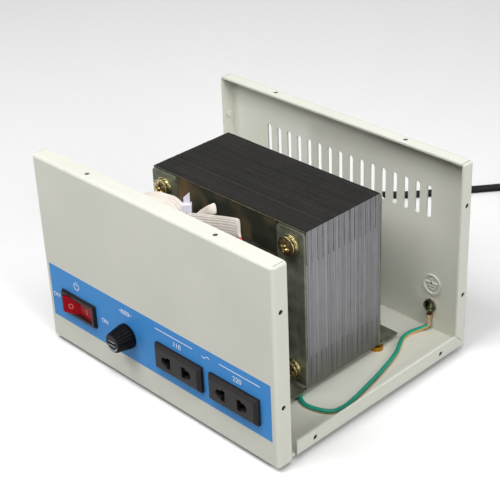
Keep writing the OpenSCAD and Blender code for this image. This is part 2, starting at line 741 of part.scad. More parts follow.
module hex_nut_y(x, z, y, af, t, hole) {
  difference() {
    translate([x, y, z]) rotate([-90, 0, 0]) cylinder(h = t, r = af / sqrt(3), $fn = 6);
    rod_y(x, z, y - over, y + t + over, hole);
  }
}

module clamp_nuts() {
  color("#C7B36A") for (p = bolt_places) hex_nut_y(p[0], p[1], nut_seat_y, nut_af, nut_t, bolt_r + bearing_gap);
}

// Section: mounting of the transformer on the base plate

mount_head_r = 4.6;
mount_head_h = 2.8;
mount_nut_af = 8;
mount_nut_t = 4;
spacer_r = 5.5;
pad_r = 4.1;

module mounting_screws() {
  color("#C7B36A") for (p = mount_places) translate([p[0], p[1], bottom_z]) {
    rotate([90, 0, 0]) pan_head(mount_head_r, mount_head_h, mount_head_r, cross_w, cross_w);
    cylinder(h = frame_z + frame_t + mount_nut_t + thread_end / 2 - bottom_z, r = mount_r);
  }
}

module mounting_spacers() {
  color("#C7B36A") for (p = mount_places) translate([p[0], p[1], floor_top_z]) difference() {
    cylinder(h = pad_h, r = spacer_r);
    translate([0, 0, -over]) cylinder(h = pad_h + 2 * over, r = mount_r + bolt_gap);
  }
}

module mounting_nuts() {
  color("#C7B36A") for (p = mount_places) translate([p[0], p[1], frame_z + frame_t]) difference() {
    cylinder(h = mount_nut_t, r = mount_nut_af / sqrt(3), $fn = 6);
    translate([0, 0, -over]) cylinder(h = mount_nut_t + 2 * over, r = mount_r + bearing_gap);
  }
}

pad_in = 2.5;
pad_y = core_rear_y + 1;
module rear_corner_pads() {
  color("#B08A35") for (sx = [-1, 1]) translate([core_x + sx * (core_w / 2 - pad_in), pad_y, floor_top_z])
    cylinder(h = pad_h, r = pad_r);
}

// Section: earth connection

earth_head_r = 4;
earth_head_h = 2.8;
star_r = 4.4;
star_t = 0.6;
star_teeth = 10;
lug_t = 0.9;
lug_r = 4.2;
barrel_r = 1.9;
barrel_l = 7.2;
lug_neck = 1.5;
earth_row_z = bottom_z + earth_z;
lug_y = inner_rear_y - lug_t;
barrel_y = inner_rear_y - barrel_r - bearing_gap;
lug_end_z = earth_row_z - lug_r - lug_neck - barrel_l;
star_y = lug_y - star_t;

module earth_screw() {
  color("#8F7A3A") translate([earth_x, star_y, earth_row_z]) {
    pan_head(earth_head_r, earth_head_h, earth_head_r, cross_w * 0.7, cross_w);
    rod_y(0, 0, 0, rear_y + nut_t - star_y, earth_screw_r);
  }
}

module earth_star_washer() {
  color("#B9B9B4") difference() {
    rod_y(earth_x, earth_row_z, star_y, lug_y, star_r);
    rod_y(earth_x, earth_row_z, star_y - over, lug_y + over, earth_screw_r + seat_gap);
    for (k = [0:star_teeth - 1]) translate([earth_x, 0, earth_row_z]) rotate([0, k * 360 / star_teeth, 0])
      span([star_r - star_t, star_y - over, -star_t / 2], [star_r + over, lug_y + over, star_t / 2]);
  }
}

// A ring lug whose barrel hangs below the screw and stands a little off the panel
module earth_lug() {
  color("#C08A62") {
    difference() {
      union() {
        rod_y(earth_x, earth_row_z, lug_y, inner_rear_y, lug_r);
        translate([earth_x, 0, earth_row_z])
          span([-barrel_r, lug_y, -lug_r - lug_neck - barrel_l / 2], [barrel_r, inner_rear_y, 0]);
        translate([earth_x, barrel_y, lug_end_z]) cylinder(h = barrel_l, r = barrel_r);
      }
      rod_y(earth_x, earth_row_z, lug_y - over, inner_rear_y + over, earth_screw_r + seat_gap);
    }
  }
}

module earth_nut() {
  color("#C7B36A") hex_nut_y(earth_x, earth_row_z, rear_y, 2 * earth_screw_r * 1.75, nut_t / 2 + over / 2,
    earth_screw_r + bearing_gap);
}

// Section: wires and cords, swept along hand-chosen points

function unit(v) = v / norm(v);

// A point on the smooth curve through p1 and p2
function curve_point(p0, p1, p2, p3, t) =
  (2 * p1 + (p2 - p0) * t + (2 * p0 - 5 * p1 + 4 * p2 - p3) * t * t + (3 * p1 - p0 - 3 * p2 + p3) * t * t * t) / 2;

function smooth(pts, steps) = [
  for (i = [0:len(pts) - 2]) for (j = [0:steps - 1])
    curve_point(pts[max(i - 1, 0)], pts[i], pts[i + 1], pts[min(i + 2, len(pts) - 1)], j / steps),
  pts[len(pts) - 1]];

function tangent(pts, i) = unit(pts[min(i + 1, len(pts) - 1)] - pts[max(i - 1, 0)]);

function ring(p, t, ref, rw, rh, sides) =
  let (a = unit(cross(ref, t)), b = cross(t, a))
  [for (k = [0:sides - 1]) let (u = 360 * (k + 0.5) / sides) p + rw * cos(u) * a + rh * sin(u) * b];

function path_length(pts) = len(pts) < 2 ? 0 : norm_sum(pts, len(pts) - 2);
function norm_sum(pts, i) = i < 0 ? 0 : norm(pts[i + 1] - pts[i]) + norm_sum(pts, i - 1);

// A closed tube along points. The cross-section is rw by rh, and ref fixes how it is turned. rh may be a list, one for each point
module sweep(pts, rw, rh, sides, ref, first_t = undef, last_t = undef) {
  n = len(pts);
  points = [for (i = [0:n - 1])
    each ring(pts[i], i == 0 && first_t != undef ? first_t : i == n - 1 && last_t != undef ? last_t : tangent(pts, i),
      ref, rw, is_list(rh) ? rh[i] : rh, sides)];
  walls = [for (i = [0:n - 2]) for (k = [0:sides - 1])
    let (a = i * sides + k, b = i * sides + (k + 1) % sides)
    each [[a, a + sides, b + sides], [a, b + sides, b]]];
  first_cap = [for (k = [1:sides - 2]) [0, k, k + 1]];
  last_cap = [for (k = [1:sides - 2]) [(n - 1) * sides, (n - 1) * sides + k + 1, (n - 1) * sides + k]];
  polyhedron(points, concat(walls, first_cap, last_cap));
}

// Routes, in the frame of the part. Heights of points on the base plate and floor follow the sizes above
wire_gap = 0.1;
wire_z = floor_top_z + earth_d / 2 + wire_gap;
lead_z = floor_top_z + lead_d / 2 + wire_gap;
relief_in = 2.5;
gland_row_z = bottom_z + gland_z;
core_end_y = inner_rear_y - relief_in - free_gap;
core_step = 2;

// Points that dip below the surface they rest on are lifted onto it
function settle(pts, z) = [for (p = pts) [p[0], p[1], max(p[2], z)]];
side_x = chassis_w / 2 - sheet_t;
core_right_x = core_x + core_w / 2;
core_left_x = core_x - core_w / 2;

// A place in the lane between the core and a side of the chassis, by its share of the lane's width
function right_lane(share) = core_right_x + share * (side_x - core_right_x);
function left_lane(share) = core_left_x - share * (side_x + core_left_x);

// The earth wire leaves its lug, runs over the base plate round the core's right side, under the core and up to the cord entry
earth_route = [
  [earth_x, barrel_y, lug_end_z - free_gap], [earth_x - 0.8, barrel_y - 2, wire_z + 1.1], [earth_x - 2.6, barrel_y - 5.4, wire_z + 0.3],
  [earth_x - 4.6, barrel_y - 11.4, wire_z], [earth_x - 4.8, barrel_y - 16.4, wire_z], [earth_x - 4, barrel_y - 20.9, wire_z],
  [right_lane(0.18), core_rear_y + 13.4, wire_z], [right_lane(0.35), core_rear_y + 2.2, wire_z],
  [right_lane(0.51), core_y + 15.4, wire_z], [right_lane(0.63), core_y - 2.5, wire_z],
  [right_lane(0.74), core_front_y + 9, wire_z], [right_lane(0.73), core_front_y - 0.5, wire_z], [right_lane(0.63), core_front_y - 5.5, wire_z],
  [right_lane(0.4), core_front_y - 8.9, wire_z], [right_lane(0.18), core_front_y - 9.7, wire_z], [core_right_x, core_front_y - 7.2, wire_z],
  [core_right_x - 2.2, core_front_y - 4.4, wire_z], [core_right_x - 5.3, core_front_y + 2, wire_z], [core_right_x - 9.5, core_front_y + 10.5, wire_z],
  [core_x + 40.5, core_front_y + 20.5, wire_z], [core_x + 16.5, core_y - 5.5, wire_z], [core_x - 13.5, core_y - 1.5, wire_z],
  [core_x - 43.5, core_y + 3.5, wire_z], [core_left_x - 0.5, core_y + 9.5, wire_z], [left_lane(0.27), core_y + 21.5, wire_z],
  [left_lane(0.37), core_rear_y + 4.5, wire_z], [left_lane(0.38), core_rear_y + 16.5, wire_z + 2.3],
  [left_lane(0.38), core_rear_y + 24.5, wire_z + 9.3], [gland_x + 1, core_end_y - 7.5, gland_row_z - 6],
  [gland_x + core_step, core_end_y - 3, gland_row_z - 1.5], [gland_x + core_step, core_end_y, gland_row_z - 1.1]];

module earth_wire() {
  color("#1C8F74") sweep(settle(smooth(earth_route, 3), wire_z), earth_d / 2, earth_d / 2, 8, [0.2, 0.1, 1],
    [0, 0, -1], [0, 1, 0]);
}

// Cotton sleeves over the coil's leads: they run side by side to the tie, where one folds back and one ends flat
sleeve_rw = 3.1;
sleeve_rh = 1.5;
sleeve_pitch = 3.1;
sleeve_count = 4;
coil_face_y = core_y - coil_half_d;
coil_top_z = coil_mid_z + window_h / 2 + head_rise;

// A place measured from the middle of the coil's front top edge
function over_coil(x, y, z) = [core_x + x, coil_face_y + y, coil_top_z + z];
tie_at = over_coil(-9.8, -2, 4.2);
sleeve_end = [-78, -61, 62];
sleeve_left = [sleeve_end, sleeve_end + [5.5, 5, 18.4], over_coil(-66, -6, -3.6), over_coil(-54.5, -0.2, 2.4),
  over_coil(-46, 0.4, 6.1), over_coil(-36, 0.4, 7.8), over_coil(-28.5, 0, 9), over_coil(-21.6, -1, 8.6), over_coil(-17.4, -1.6, 5.4),
  over_coil(-12, -2, 4.2), over_coil(-7, -2, 4.2)];
sleeve_ref = [0.1, 1, 0.1];
sleeve_loop = [over_coil(-3.8, 1.6, 6.9), over_coil(1.5, 3, 12.2), over_coil(6, 3.6, 16.7), over_coil(8.6, 2.6, 18.3), over_coil(6.6, 0.9, 17.2),
  over_coil(1.5, 0.2, 13), over_coil(-3, -0.1, 8.6)];
sleeve_flat = [over_coil(-5.4, -3.6, 6.8), over_coil(-2, -3.6, 7.7), over_coil(4.5, -3.6, 9.7), over_coil(14, -3.6, 12.3), over_coil(24, -3.6, 15.1),
  over_coil(34.6, -3.6, 17.7)];
flat_rw = 6.3;
flat_rh = 1.1;
flat_end_heading = unit([1, 0, -0.1]);

// The sleeves are pressed together towards the tie
squeeze_start = -33;
squeeze_l = 20;
squeezed = 0.6;
function squeeze(p) = 1 - (1 - squeezed) * min(1, max(0, (p[0] - core_x - squeeze_start) / squeeze_l));
function sleeve_side(k) = [0, (k - (sleeve_count - 1) / 2) * sleeve_pitch, 0];
function sleeve_path(k) = smooth(concat([for (p = sleeve_left) p + squeeze(p) * sleeve_side(k)], k == sleeve_count - 1 ? sleeve_loop : []), 3);

module lead_sleeves() {
  color("#F1EDE3") {
    for (k = [0:sleeve_count - 1]) sweep(sleeve_path(k), sleeve_rw, [for (p = sleeve_path(k)) sleeve_rh * squeeze(p)], 8, sleeve_ref);
    sweep(smooth(sleeve_flat, 3), flat_rw, flat_rh, 8, sleeve_ref, undef, flat_end_heading);
  }
}

// A cable tie: band, head and the cut tail, which face the front right corner
tie_w = 3.6;
tie_t = 1.1;
tie_head_w = 5.2;
tie_head_t = 4.2;
tie_head_h = 8.6;
tie_tail_l = 7;
tie_cut = 3.2;
tie_ring_w = squeezed * sleeve_count * sleeve_pitch + free_gap;
tie_ring_h = 2 * sleeve_rw + 2 * free_gap;
module sleeve_tie() {
  color("#E9E9F0") translate(tie_at) {
    rotate([0, 90, 0]) difference() {
      linear_extrude(tie_w, center = true) round_plate(tie_ring_h + 2 * tie_t, tie_ring_w + 2 * tie_t, tie_t * 1.5);
      linear_extrude(tie_w + 2 * over, center = true) square([tie_ring_h, tie_ring_w], center = true);
    }
    translate([0, 0, tie_ring_h / 2 + tie_t / 2]) rotate([0, 0, 45]) {
      span([-tie_head_w / 2, -tie_head_t / 2, 0], [tie_head_w / 2, tie_head_t / 2, tie_head_h]);
      rotate([90, 0, 0]) linear_extrude(tie_t, center = true)
        polygon([[-tie_w / 2, tie_head_h / 2], [tie_w / 2, tie_head_h / 2], [tie_w / 2, tie_head_h + tie_tail_l],
          [-tie_w / 2, tie_head_h + tie_tail_l - tie_cut]]);
    }
  }
}

switch_tab_y = switch_back_y + blade_l + free_gap;
sleeve_heading = unit(smooth(sleeve_left, 3)[1] - sleeve_left[0]);
function lead_end(k) = sleeve_left[0] + sleeve_side(k) - free_gap * sleeve_heading;
live_route = [[gland_x, core_end_y, gland_row_z + core_step], [gland_x, core_end_y - 4, gland_row_z + core_step],
  [left_lane(0.52), core_rear_y + 22.5, 20], [left_lane(0.65), core_rear_y + 8.5, lead_z], [left_lane(0.7), core_y + 21.5, lead_z],
  [left_lane(0.72), core_front_y + 2.5, lead_z], [left_lane(0.62), core_front_y - 15.5, 9], [-78, -45, 22],
  [switch_x - switch_blade_x, switch_tab_y + 3, row_z - 1], [switch_x - switch_blade_x, switch_tab_y, row_z]];
neutral_route = [[gland_x - core_step, core_end_y, gland_row_z - 1.1], [gland_x - core_step, core_end_y - 4, gland_row_z - 1.5],
  [left_lane(0.7), core_rear_y + 20.5, 17], [left_lane(0.81), core_rear_y + 6.5, lead_z], [left_lane(0.865), core_y + 11.5, lead_z],
  [left_lane(0.85), core_front_y - 13.5, lead_z], [left_lane(0.776), core_front_y - 25.5, 12], [-85, -57, 34],
  [-81, -58.5, 52], lead_end(2)];
switch_fuse_route = [[switch_x + switch_blade_x, switch_tab_y, row_z], [switch_x + switch_blade_x + 1, switch_tab_y + 3, row_z - 0.5],
  [-55, -46, 32], [-42, -44.6, 31], [-32, -44, 32], [-26.5, -43.6, 34.6], [fuse_x, holder_back_y + blade_l + free_gap, row_z]];
fuse_coil_route = [[fuse_x, holder_back_y - 4, row_z + holder_r + blade_t + lead_d / 2 + wire_gap], [-24, -60, 46], [-32, -62, 54], [-50, -63, 58],
  [-68, -62.5, 58], [-75.6, -62.8, 59], lead_end(1)];
module lead(route, shade, ref, first_t, last_t) {
  color(shade) sweep(settle(smooth(route, 3), lead_z), lead_d / 2, lead_d / 2, 8, ref, first_t, last_t);
}

module live_lead() lead(live_route, "#6B3E26", [0.3, 0.2, 1], [0, -1, 0], [0, -1, 0]);
module neutral_lead() lead(neutral_route, "#2F5FA8", [1, 0.3, 0.2], [0, -1, 0], sleeve_heading);
module switch_fuse_lead() lead(switch_fuse_route, "#6B3E26", [0.1, 0.2, 1], [0, 1, 0], [0, -1, 0]);
module fuse_coil_lead() lead(fuse_coil_route, "#B3202A", [0.1, 1, 0.3], undef, sleeve_heading);

// One lead to each of the four outlet tabs. Three come out of the coil's front face, and the last out of the flat sleeve
tab_end_y = outlet_back_y + blade_l + free_gap;
lead_pitch = 4.5;
lead_first = 25;
lead_rise = 12;
function tab_x(i) = outlet_x + floor(i / 2) * outlet_pitch + (i % 2 == 0 ? -flat_pin_x : flat_pin_x);
function tab_part(x) = [[x, tab_end_y, row_z], [x, tab_end_y + 3, row_z + 1]];
function output_route(i) =
  let (x = tab_x(i), u = core_x + coil_side - lead_first + lead_pitch * i)
  concat(tab_part(x), [[(3 * x + u) / 4, coil_face_y - 8, row_z + lead_rise], [(x + u) / 2, coil_face_y - 5.5, coil_mid_z + 0.5],
    [u, coil_face_y - 4, coil_mid_z + 14.5], [u, coil_face_y - 2.5, coil_mid_z + 22.5 - i], [u, coil_face_y - free_gap, coil_mid_z + 25.5 - i]]);
flat_lead_route = concat(tab_part(tab_x(3)), [[tab_x(3) - 3, coil_face_y - 9, row_z + lead_rise],
  over_coil(58.5, -9, -37.4), over_coil(46.5, -8, -17.4), over_coil(39, -5.6, 0.6), over_coil(37, -4.2, 8.1), over_coil(34.7, -3.6, 11.7)]);

module output_leads() {
  shades = ["#2F5FA8", "#B3202A", "#2F5FA8", "#B3202A"];
  for (i = [0:3]) color(shades[i])
    sweep(smooth(i < 3 ? output_route(i) : flat_lead_route, 3), lead_d / 2, lead_d / 2, 8, [1, 0.1, 0.1],
      [0, 1, 0], i < 3 ? [0, 1, 0] : undef);
}

// Section: mains cord

relief_flange_r = 8;
relief_flange_t = 1.6;
relief_end_r = 4.2;
relief_ribs = 5;
relief_end_y = rear_y + relief_l;
cord_r = cord_d / 2;

module cord_strain_relief() {
  taper_l = relief_l - relief_flange_t;
  rib_w = taper_l / (2 * relief_ribs);
  color("#1A1A1C") difference() {
    union() {
      rod_y(gland_x, gland_row_z, inner_rear_y - relief_in, rear_y, gland_hole_r - seat_gap);
      rod_y(gland_x, gland_row_z, inner_rear_y - relief_in, inner_rear_y, relief_flange_r);
      rod_y(gland_x, gland_row_z, rear_y, rear_y + relief_flange_t, relief_flange_r);
      translate([gland_x, rear_y + relief_flange_t, gland_row_z]) rotate([-90, 0, 0])
        cylinder(h = taper_l, r1 = gland_hole_r, r2 = relief_end_r);
    }
    for (k = [0:relief_ribs - 2]) translate([gland_x, rear_y + relief_flange_t + (2 * k + 1.5) * rib_w, gland_row_z])
      for (sx = [-1, 1]) span([sx * gland_hole_r - relief_flange_t, 0, -gland_hole_r],
        [sx * gland_hole_r + relief_flange_t, rib_w, gland_hole_r]);
  }
}

// Route of the cord from the strain relief over the floor to the coil
coil_entry = [19, 305, cord_r];
coil_turn_a = 140;
coil_turns_share = 140 / 360;
coil_turns = 6 + coil_turns_share;
coil_r = 41;
turn_pitch = cord_d + 0.6;
coil_mid = coil_entry - coil_r * [cos(coil_turn_a), sin(coil_turn_a), 0];
coil_heading = [sin(coil_turn_a), -cos(coil_turn_a), 0];
cord_end = coil_entry - cord_d * coil_heading;
cord_route = [
  [gland_x, relief_end_y, gland_row_z], [-75, 116, 28.5], [-75.5, 128, 22], [-76.5, 140, 14], [-77.5, 152, 7],
  [-78, 164, 3.4], [-78.5, 175, cord_r], [-77, 186, cord_r], [-73, 195, cord_r], [-67, 202, cord_r],
  [-60, 208, cord_r], [-53, 215, cord_r], [-46.5, 223, cord_r], [-39, 232.5, cord_r], [-31, 243, cord_r],
  [-22, 254, cord_r], [-11, 268, cord_r], [1, 283, cord_r], cord_end];

module power_cord() {
  color("#18181B") sweep(settle(smooth(cord_route, 2), cord_r), cord_r, cord_r, 8, [0.02, 0.02, 1],
    [0, 1, 0], coil_heading);
}

// Radius and height of the coil after t turns: it spirals in, climbs one layer and spirals out
half_turns = coil_turns / 2;
function coil_radius(t) = coil_r - turn_pitch * (half_turns - abs(t - half_turns));
function coil_level(t) = cord_r + turn_pitch * max(0, min(1, 2 * (t - half_turns) + 0.5));
function coil_at(t) = let (a = coil_turn_a - 360 * t)
  [coil_mid[0] + coil_radius(t) * cos(a), coil_mid[1] + coil_radius(t) * sin(a), coil_level(t)];
rings_per_turn = 24;
coil_rings = floor(coil_turns * rings_per_turn);
coil_path = [for (k = [0:coil_rings]) coil_at(coil_turns * k / coil_rings)];
exit_a = coil_turn_a - 360 * coil_turns;
exit_heading = [sin(exit_a), -cos(exit_a), 0];
coil_exit = coil_path[coil_rings];
coil_end = coil_exit + cord_d * exit_heading;
// Gap between neighbouring turns, measured between points at least half a turn apart
coil_gap = min([for (i = [0:2:coil_rings]) for (j = [i + rings_per_turn / 2:2:coil_rings])
  norm(coil_path[i] - coil_path[j])]) - cord_d;
echo("least gap of the coil to itself", coil_gap);
echo("lengths of the free cord and of the coil", path_length(smooth(cord_route, 2)),
  path_length(coil_path) + 2 * cord_d);

module power_cord_coil() {
  color("#18181B") sweep(concat([cord_end], coil_path, [coil_end]), cord_r, cord_r, 6, [0.02, 0.02, 1],
    coil_heading, exit_heading);
}

// The plug lies flat beside the coil, its cord axis level with the coil's upper layer
plug_w = 25;
plug_z = coil_exit[2];
plug_neck_l = 30;
plug_neck_r = 4.6;
pin_t = 1.5;
pin_w = 6.3;
pin_l = 17;
pin_x = 6.35;
plug_back_y = coil_end[1];
plug_front_y = plug_back_y - plug_neck_l - plug_l;

module plug_body() {
  color("#1B1B1E") {
    translate([coil_end[0], plug_back_y, plug_z]) rotate([90, 0, 0])
      cylinder(h = plug_neck_l + over, r1 = cord_r + free_gap, r2 = plug_neck_r);
    translate([coil_end[0], plug_back_y - plug_neck_l - plug_l / 2, plug_z])
      soft_block(plug_w, plug_l, 2 * plug_z, plug_w / 4, plug_z / 2, plug_z / 2);
  }
}

module plug_pins() {
  color("#C8BE8A") for (sx = [-1, 1]) translate([coil_end[0] + sx * pin_x, plug_front_y, plug_z])
    span([-pin_t / 2, -pin_l, -pin_w / 2], [pin_t / 2, 0, pin_w / 2]);
}

front_panel();
chassis_tray();
rubber_feet();
switch_housing();
switch_rocker();
switch_terminals();
fuse_holder_body();
fuse_holder_nut();
fuse_holder_terminals();
fuse_cap();
fuse_glass();
fuse_end_caps();
outlet_1_body();
outlet_2_body();
outlet_1_contacts();
outlet_2_contacts();
core_e_laminations();
core_i_laminations();
bobbin();
copper_winding();
coil_wrap();
end_frame_front();
end_frame_rear();
clamp_bolts();
clamp_flat_washers();
clamp_spring_washers();
clamp_nuts();
mounting_screws();
mounting_spacers();
mounting_nuts();
rear_corner_pads();
earth_screw();
earth_star_washer();
earth_lug();
earth_nut();
earth_wire();
lead_sleeves();
sleeve_tie();
live_lead();
neutral_lead();
switch_fuse_lead();
fuse_coil_lead();
output_leads();
cord_strain_relief();
power_cord();
power_cord_coil();
plug_body();
plug_pins();
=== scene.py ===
# Voltage converter without its cover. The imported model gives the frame, and this script gives it camera,
# light, finishes and the pieces that are soft, wound or finely detailed. Places and sizes are in millimetres
import functools
import math
import random
import bmesh
import bpy
from mathutils import Matrix, Vector


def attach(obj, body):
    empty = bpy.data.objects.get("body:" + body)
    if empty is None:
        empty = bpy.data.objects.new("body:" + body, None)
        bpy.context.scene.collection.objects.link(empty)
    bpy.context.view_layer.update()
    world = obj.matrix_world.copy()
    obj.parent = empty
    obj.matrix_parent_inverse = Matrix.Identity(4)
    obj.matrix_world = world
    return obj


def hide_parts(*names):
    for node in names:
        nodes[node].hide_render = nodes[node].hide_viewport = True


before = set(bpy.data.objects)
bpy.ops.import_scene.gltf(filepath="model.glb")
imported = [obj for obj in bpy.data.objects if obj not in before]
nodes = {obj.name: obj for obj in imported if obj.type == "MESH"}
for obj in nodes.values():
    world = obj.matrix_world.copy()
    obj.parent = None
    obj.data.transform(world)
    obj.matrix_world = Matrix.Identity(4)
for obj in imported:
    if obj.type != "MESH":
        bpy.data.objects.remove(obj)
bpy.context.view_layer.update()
scene = bpy.context.scene
mm = 0.001
print("frame loaded:", len(nodes), "nodes")

# Camera and light
cameraSettings = {"place": (505.4, -475.8, 465.7), "turn": (60.14, 2.19, 45.59), "lens": 95.8, "sensor": 36.0,
                  "nearest": 20}
lightSettings = {
    "ambient": 0.06,
    "lamps": {
        "leftSoftbox": {"place": (-150, -700, 1250), "aim": (0, 0, 60), "size": 750, "power": 14.8},
        "upperRightSoftbox": {"place": (600, -350, 1250), "aim": (0, 0, 60), "size": 500, "power": 7.0},
        "rightSoftbox": {"place": (1450, -200, 600), "aim": (0, 0, 60), "size": 700, "power": 13.5},
        "lowLamp": {"place": (-900, -1000, 70), "aim": (0, -80, 40), "size": 120, "power": 2.4},
        "rearSoftbox": {"place": (-800, 1100, 1300), "aim": (-300, 400, 0), "size": 1000, "power": 5.6},
    },
}


def toLinear(hexColour):
    parts = [int(hexColour[i:i + 2], 16) / 255 for i in (1, 3, 5)]
    return tuple(c / 12.92 if c <= 0.04045 else ((c + 0.055) / 1.055) ** 2.4 for c in parts) + (1.0,)


# Adds one node, a shader node where the kind doesn't say more, with its operation after the kind. An entry is
# an attribute of the node, a constant for an input, or what is linked to that input: a socket, or another
# node, which stands for its first output in use. A colour is given as hex
def addNode(tree, kind, entries):
    kind, *operation = kind.split()
    node = tree.nodes.new(kind if "Node" in kind else "ShaderNode" + kind)
    if operation:
        node.operation = operation[0]
    for key, value in entries.items():
        if isinstance(value, bpy.types.Node):
            value = next(socket for socket in value.outputs if socket.enabled)
        elif isinstance(value, str) and value.startswith("#"):
            value = toLinear(value)
        if isinstance(key, str) and hasattr(node, key):
            setattr(node, key, value)
        elif isinstance(value, bpy.types.NodeSocket):
            tree.links.new(value, node.inputs[key])
        else:
            node.inputs[key].default_value = value
    return node


def linkedObject(name, data):
    obj = bpy.data.objects.new(name, data)
    scene.collection.objects.link(obj)
    return obj


camera = linkedObject("camera", bpy.data.cameras.new("camera"))
camera.data.sensor_width = cameraSettings["sensor"]
camera.data.lens = cameraSettings["lens"]
camera.data.clip_start = cameraSettings["nearest"] * mm
camera.location = [v * mm for v in cameraSettings["place"]]
camera.rotation_euler = [math.radians(a) for a in cameraSettings["turn"]]
scene.camera = camera
scene.view_settings.view_transform = "Standard"

# the room is white where it is seen, mirrored or looked at through glass, and lights the object only a little
world = bpy.data.worlds.new("paleRoom")
scene.world = world
world.use_nodes = True
world.node_tree.nodes.clear()
add = functools.partial(addNode, world.node_tree)
rays = add("LightPath", {}).outputs
seen = add("Math MAXIMUM", {0: rays["Is Camera Ray"], 1: rays["Is Transmission Ray"]})
seen = add("Math MAXIMUM", {0: seen, 1: rays["Is Glossy Ray"]})
level = add("MapRange", {"To Min": lightSettings["ambient"], "To Max": 1.0, "Value": seen})
sky = add("Background", {"Color": (1, 1, 1, 1), "Strength": level})
add("OutputWorld", {"Surface": sky})

for lampName, lamp in lightSettings["lamps"].items():
    light = bpy.data.lights.new(lampName, "AREA")
    light.shape = "SQUARE"
    light.size = lamp["size"] * mm
    light.energy = lamp["power"]
    lampObject = linkedObject(lampName, light)
    lampObject.location = [v * mm for v in lamp["place"]]
    aim = Vector(lamp["aim"]) - Vector(lamp["place"])
    lampObject.rotation_euler = aim.to_track_quat("-Z", "Y").to_euler()


# Mesh helpers
def smoothPath(points, steps):
    points = [Vector(p) for p in points]
    path = []
    for i in range(len(points) - 1):
        p0, p1, p2, p3 = points[max(i - 1, 0)], points[i], points[i + 1], points[min(i + 2, len(points) - 1)]
        for j in range(steps):
            t = j / steps
            path.append((2 * p1 + (p2 - p0) * t + (2 * p0 - 5 * p1 + 4 * p2 - p3) * t * t
                         + (3 * p1 - p0 - 3 * p2 + p3) * t ** 3) / 2)
    return path + [points[-1]]


def settle(path, lowest):
    return [Vector((p.x, p.y, max(p.z, lowest))) for p in path]


def roundOutline(radius, sides):
    return [(radius * math.cos(2 * math.pi * k / sides), radius * math.sin(2 * math.pi * k / sides))
            for k in range(sides)]


def finishMesh(work, name):
    mesh = bpy.data.meshes.new(name)
    work.to_mesh(mesh)
    work.free()
    return mesh


# a closed tube along a path. Its UV map "alongPath" has the share round it and the length along it in metres
def sweepMesh(name, path, outlineAt, reference=(0.02, 0.02, 1), target=None, endTangents=(None, None)):
    path = [Vector(p) for p in path]
    count = len(path)
    tangents = [(path[min(i + 1, count - 1)] - path[max(i - 1, 0)]).normalized() for i in range(count)]
    for index, given in zip((0, -1), endTangents):
        if given is not None:
            tangents[index] = Vector(given).normalized()
    side = Vector(reference).cross(tangents[0]).normalized()
    work = target or bmesh.new()
    layer = work.loops.layers.uv.get("alongPath") or work.loops.layers.uv.new("alongPath")
    rings, lengths, run = [], [], 0.0
    for i in range(count):
        if i:
            side = (tangents[i - 1].rotation_difference(tangents[i]) @ side).normalized()
            run += (path[i] - path[i - 1]).length
        other = tangents[i].cross(side)
        rings.append([work.verts.new((path[i] + side * x + other * y) * mm)
                      for x, y in outlineAt(i / (count - 1))])
        lengths.append(run * mm)
    sides = len(rings[0])
    for i in range(count - 1):
        near, far = rings[i], rings[i + 1]
        for k in range(sides):
            following = (k + 1) % sides
            face = work.faces.new((near[k], near[following], far[following], far[k]))
            face.smooth = True
            for loop, (u, v) in zip(face.loops, ((k, i), (k + 1, i), (k + 1, i + 1), (k, i + 1))):
                loop[layer].uv = (u / sides, lengths[v])
    work.faces.new(list(reversed(rings[0])))
    work.faces.new(rings[-1])
    return None if target else finishMesh(work, name)


def joinMeshes(name, meshes):
    work = bmesh.new()
    for mesh in meshes:
        work.from_mesh(mesh)
    return finishMesh(work, name)


def moveMesh(mesh, place):
    mesh.transform(Matrix.Translation(Vector(place) * mm))


# a piece with its finish, or with the finishes its mesh has already where none is given
def addPiece(name, mesh, material, body="chassis", replaced=()):
    if material:
        mesh.materials.clear()
        mesh.materials.append(material)
    piece = linkedObject(name, mesh)
    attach(piece, body)
    if replaced:
        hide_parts(*replaced)
    return piece


# applies an object's modifiers and hands back the plain mesh
def bakedMesh(obj):
    bpy.context.view_layer.update()
    mesh = bpy.data.meshes.new_from_object(obj.evaluated_get(bpy.context.evaluated_depsgraph_get()))
    bpy.data.objects.remove(obj)
    return mesh


# a CAD node's mesh, its loose triangles joined and its flat faces made whole if asked, modified and baked
def modifiedCopy(nodeName, wholeFlats, modifiers):
    mesh = nodes[nodeName].data.copy()
    work = bmesh.new()
    work.from_mesh(mesh)
    bmesh.ops.remove_doubles(work, verts=work.verts, dist=0.01 * mm)
    if wholeFlats:
        bmesh.ops.dissolve_limit(work, angle_limit=math.radians(1.0), verts=work.verts, edges=work.edges)
    work.to_mesh(mesh)
    work.free()
    obj = linkedObject(nodeName + "Copy", mesh)
    for kind, settings in modifiers.items():
        modifier = obj.modifiers.new(kind.lower(), kind)
        for key, value in settings.items():
            setattr(modifier, key, value)
    return bakedMesh(obj)


socketKinds = {float: "NodeSocketFloat", int: "NodeSocketInt"}


# an empty geometry node tree with one named input for each value
def newTree(name, values):
    tree = bpy.data.node_groups.new(name, "GeometryNodeTree")
    tree.interface.new_socket("Geometry", in_out="INPUT", socket_type="NodeSocketGeometry")
    for key, value in values.items():
        tree.interface.new_socket(key, in_out="INPUT", socket_type=socketKinds[type(value)])
    tree.interface.new_socket("Geometry", in_out="OUTPUT", socket_type="NodeSocketGeometry")
    add = functools.partial(addNode, tree)
    return tree, add, add("NodeGroupInput", {}).outputs


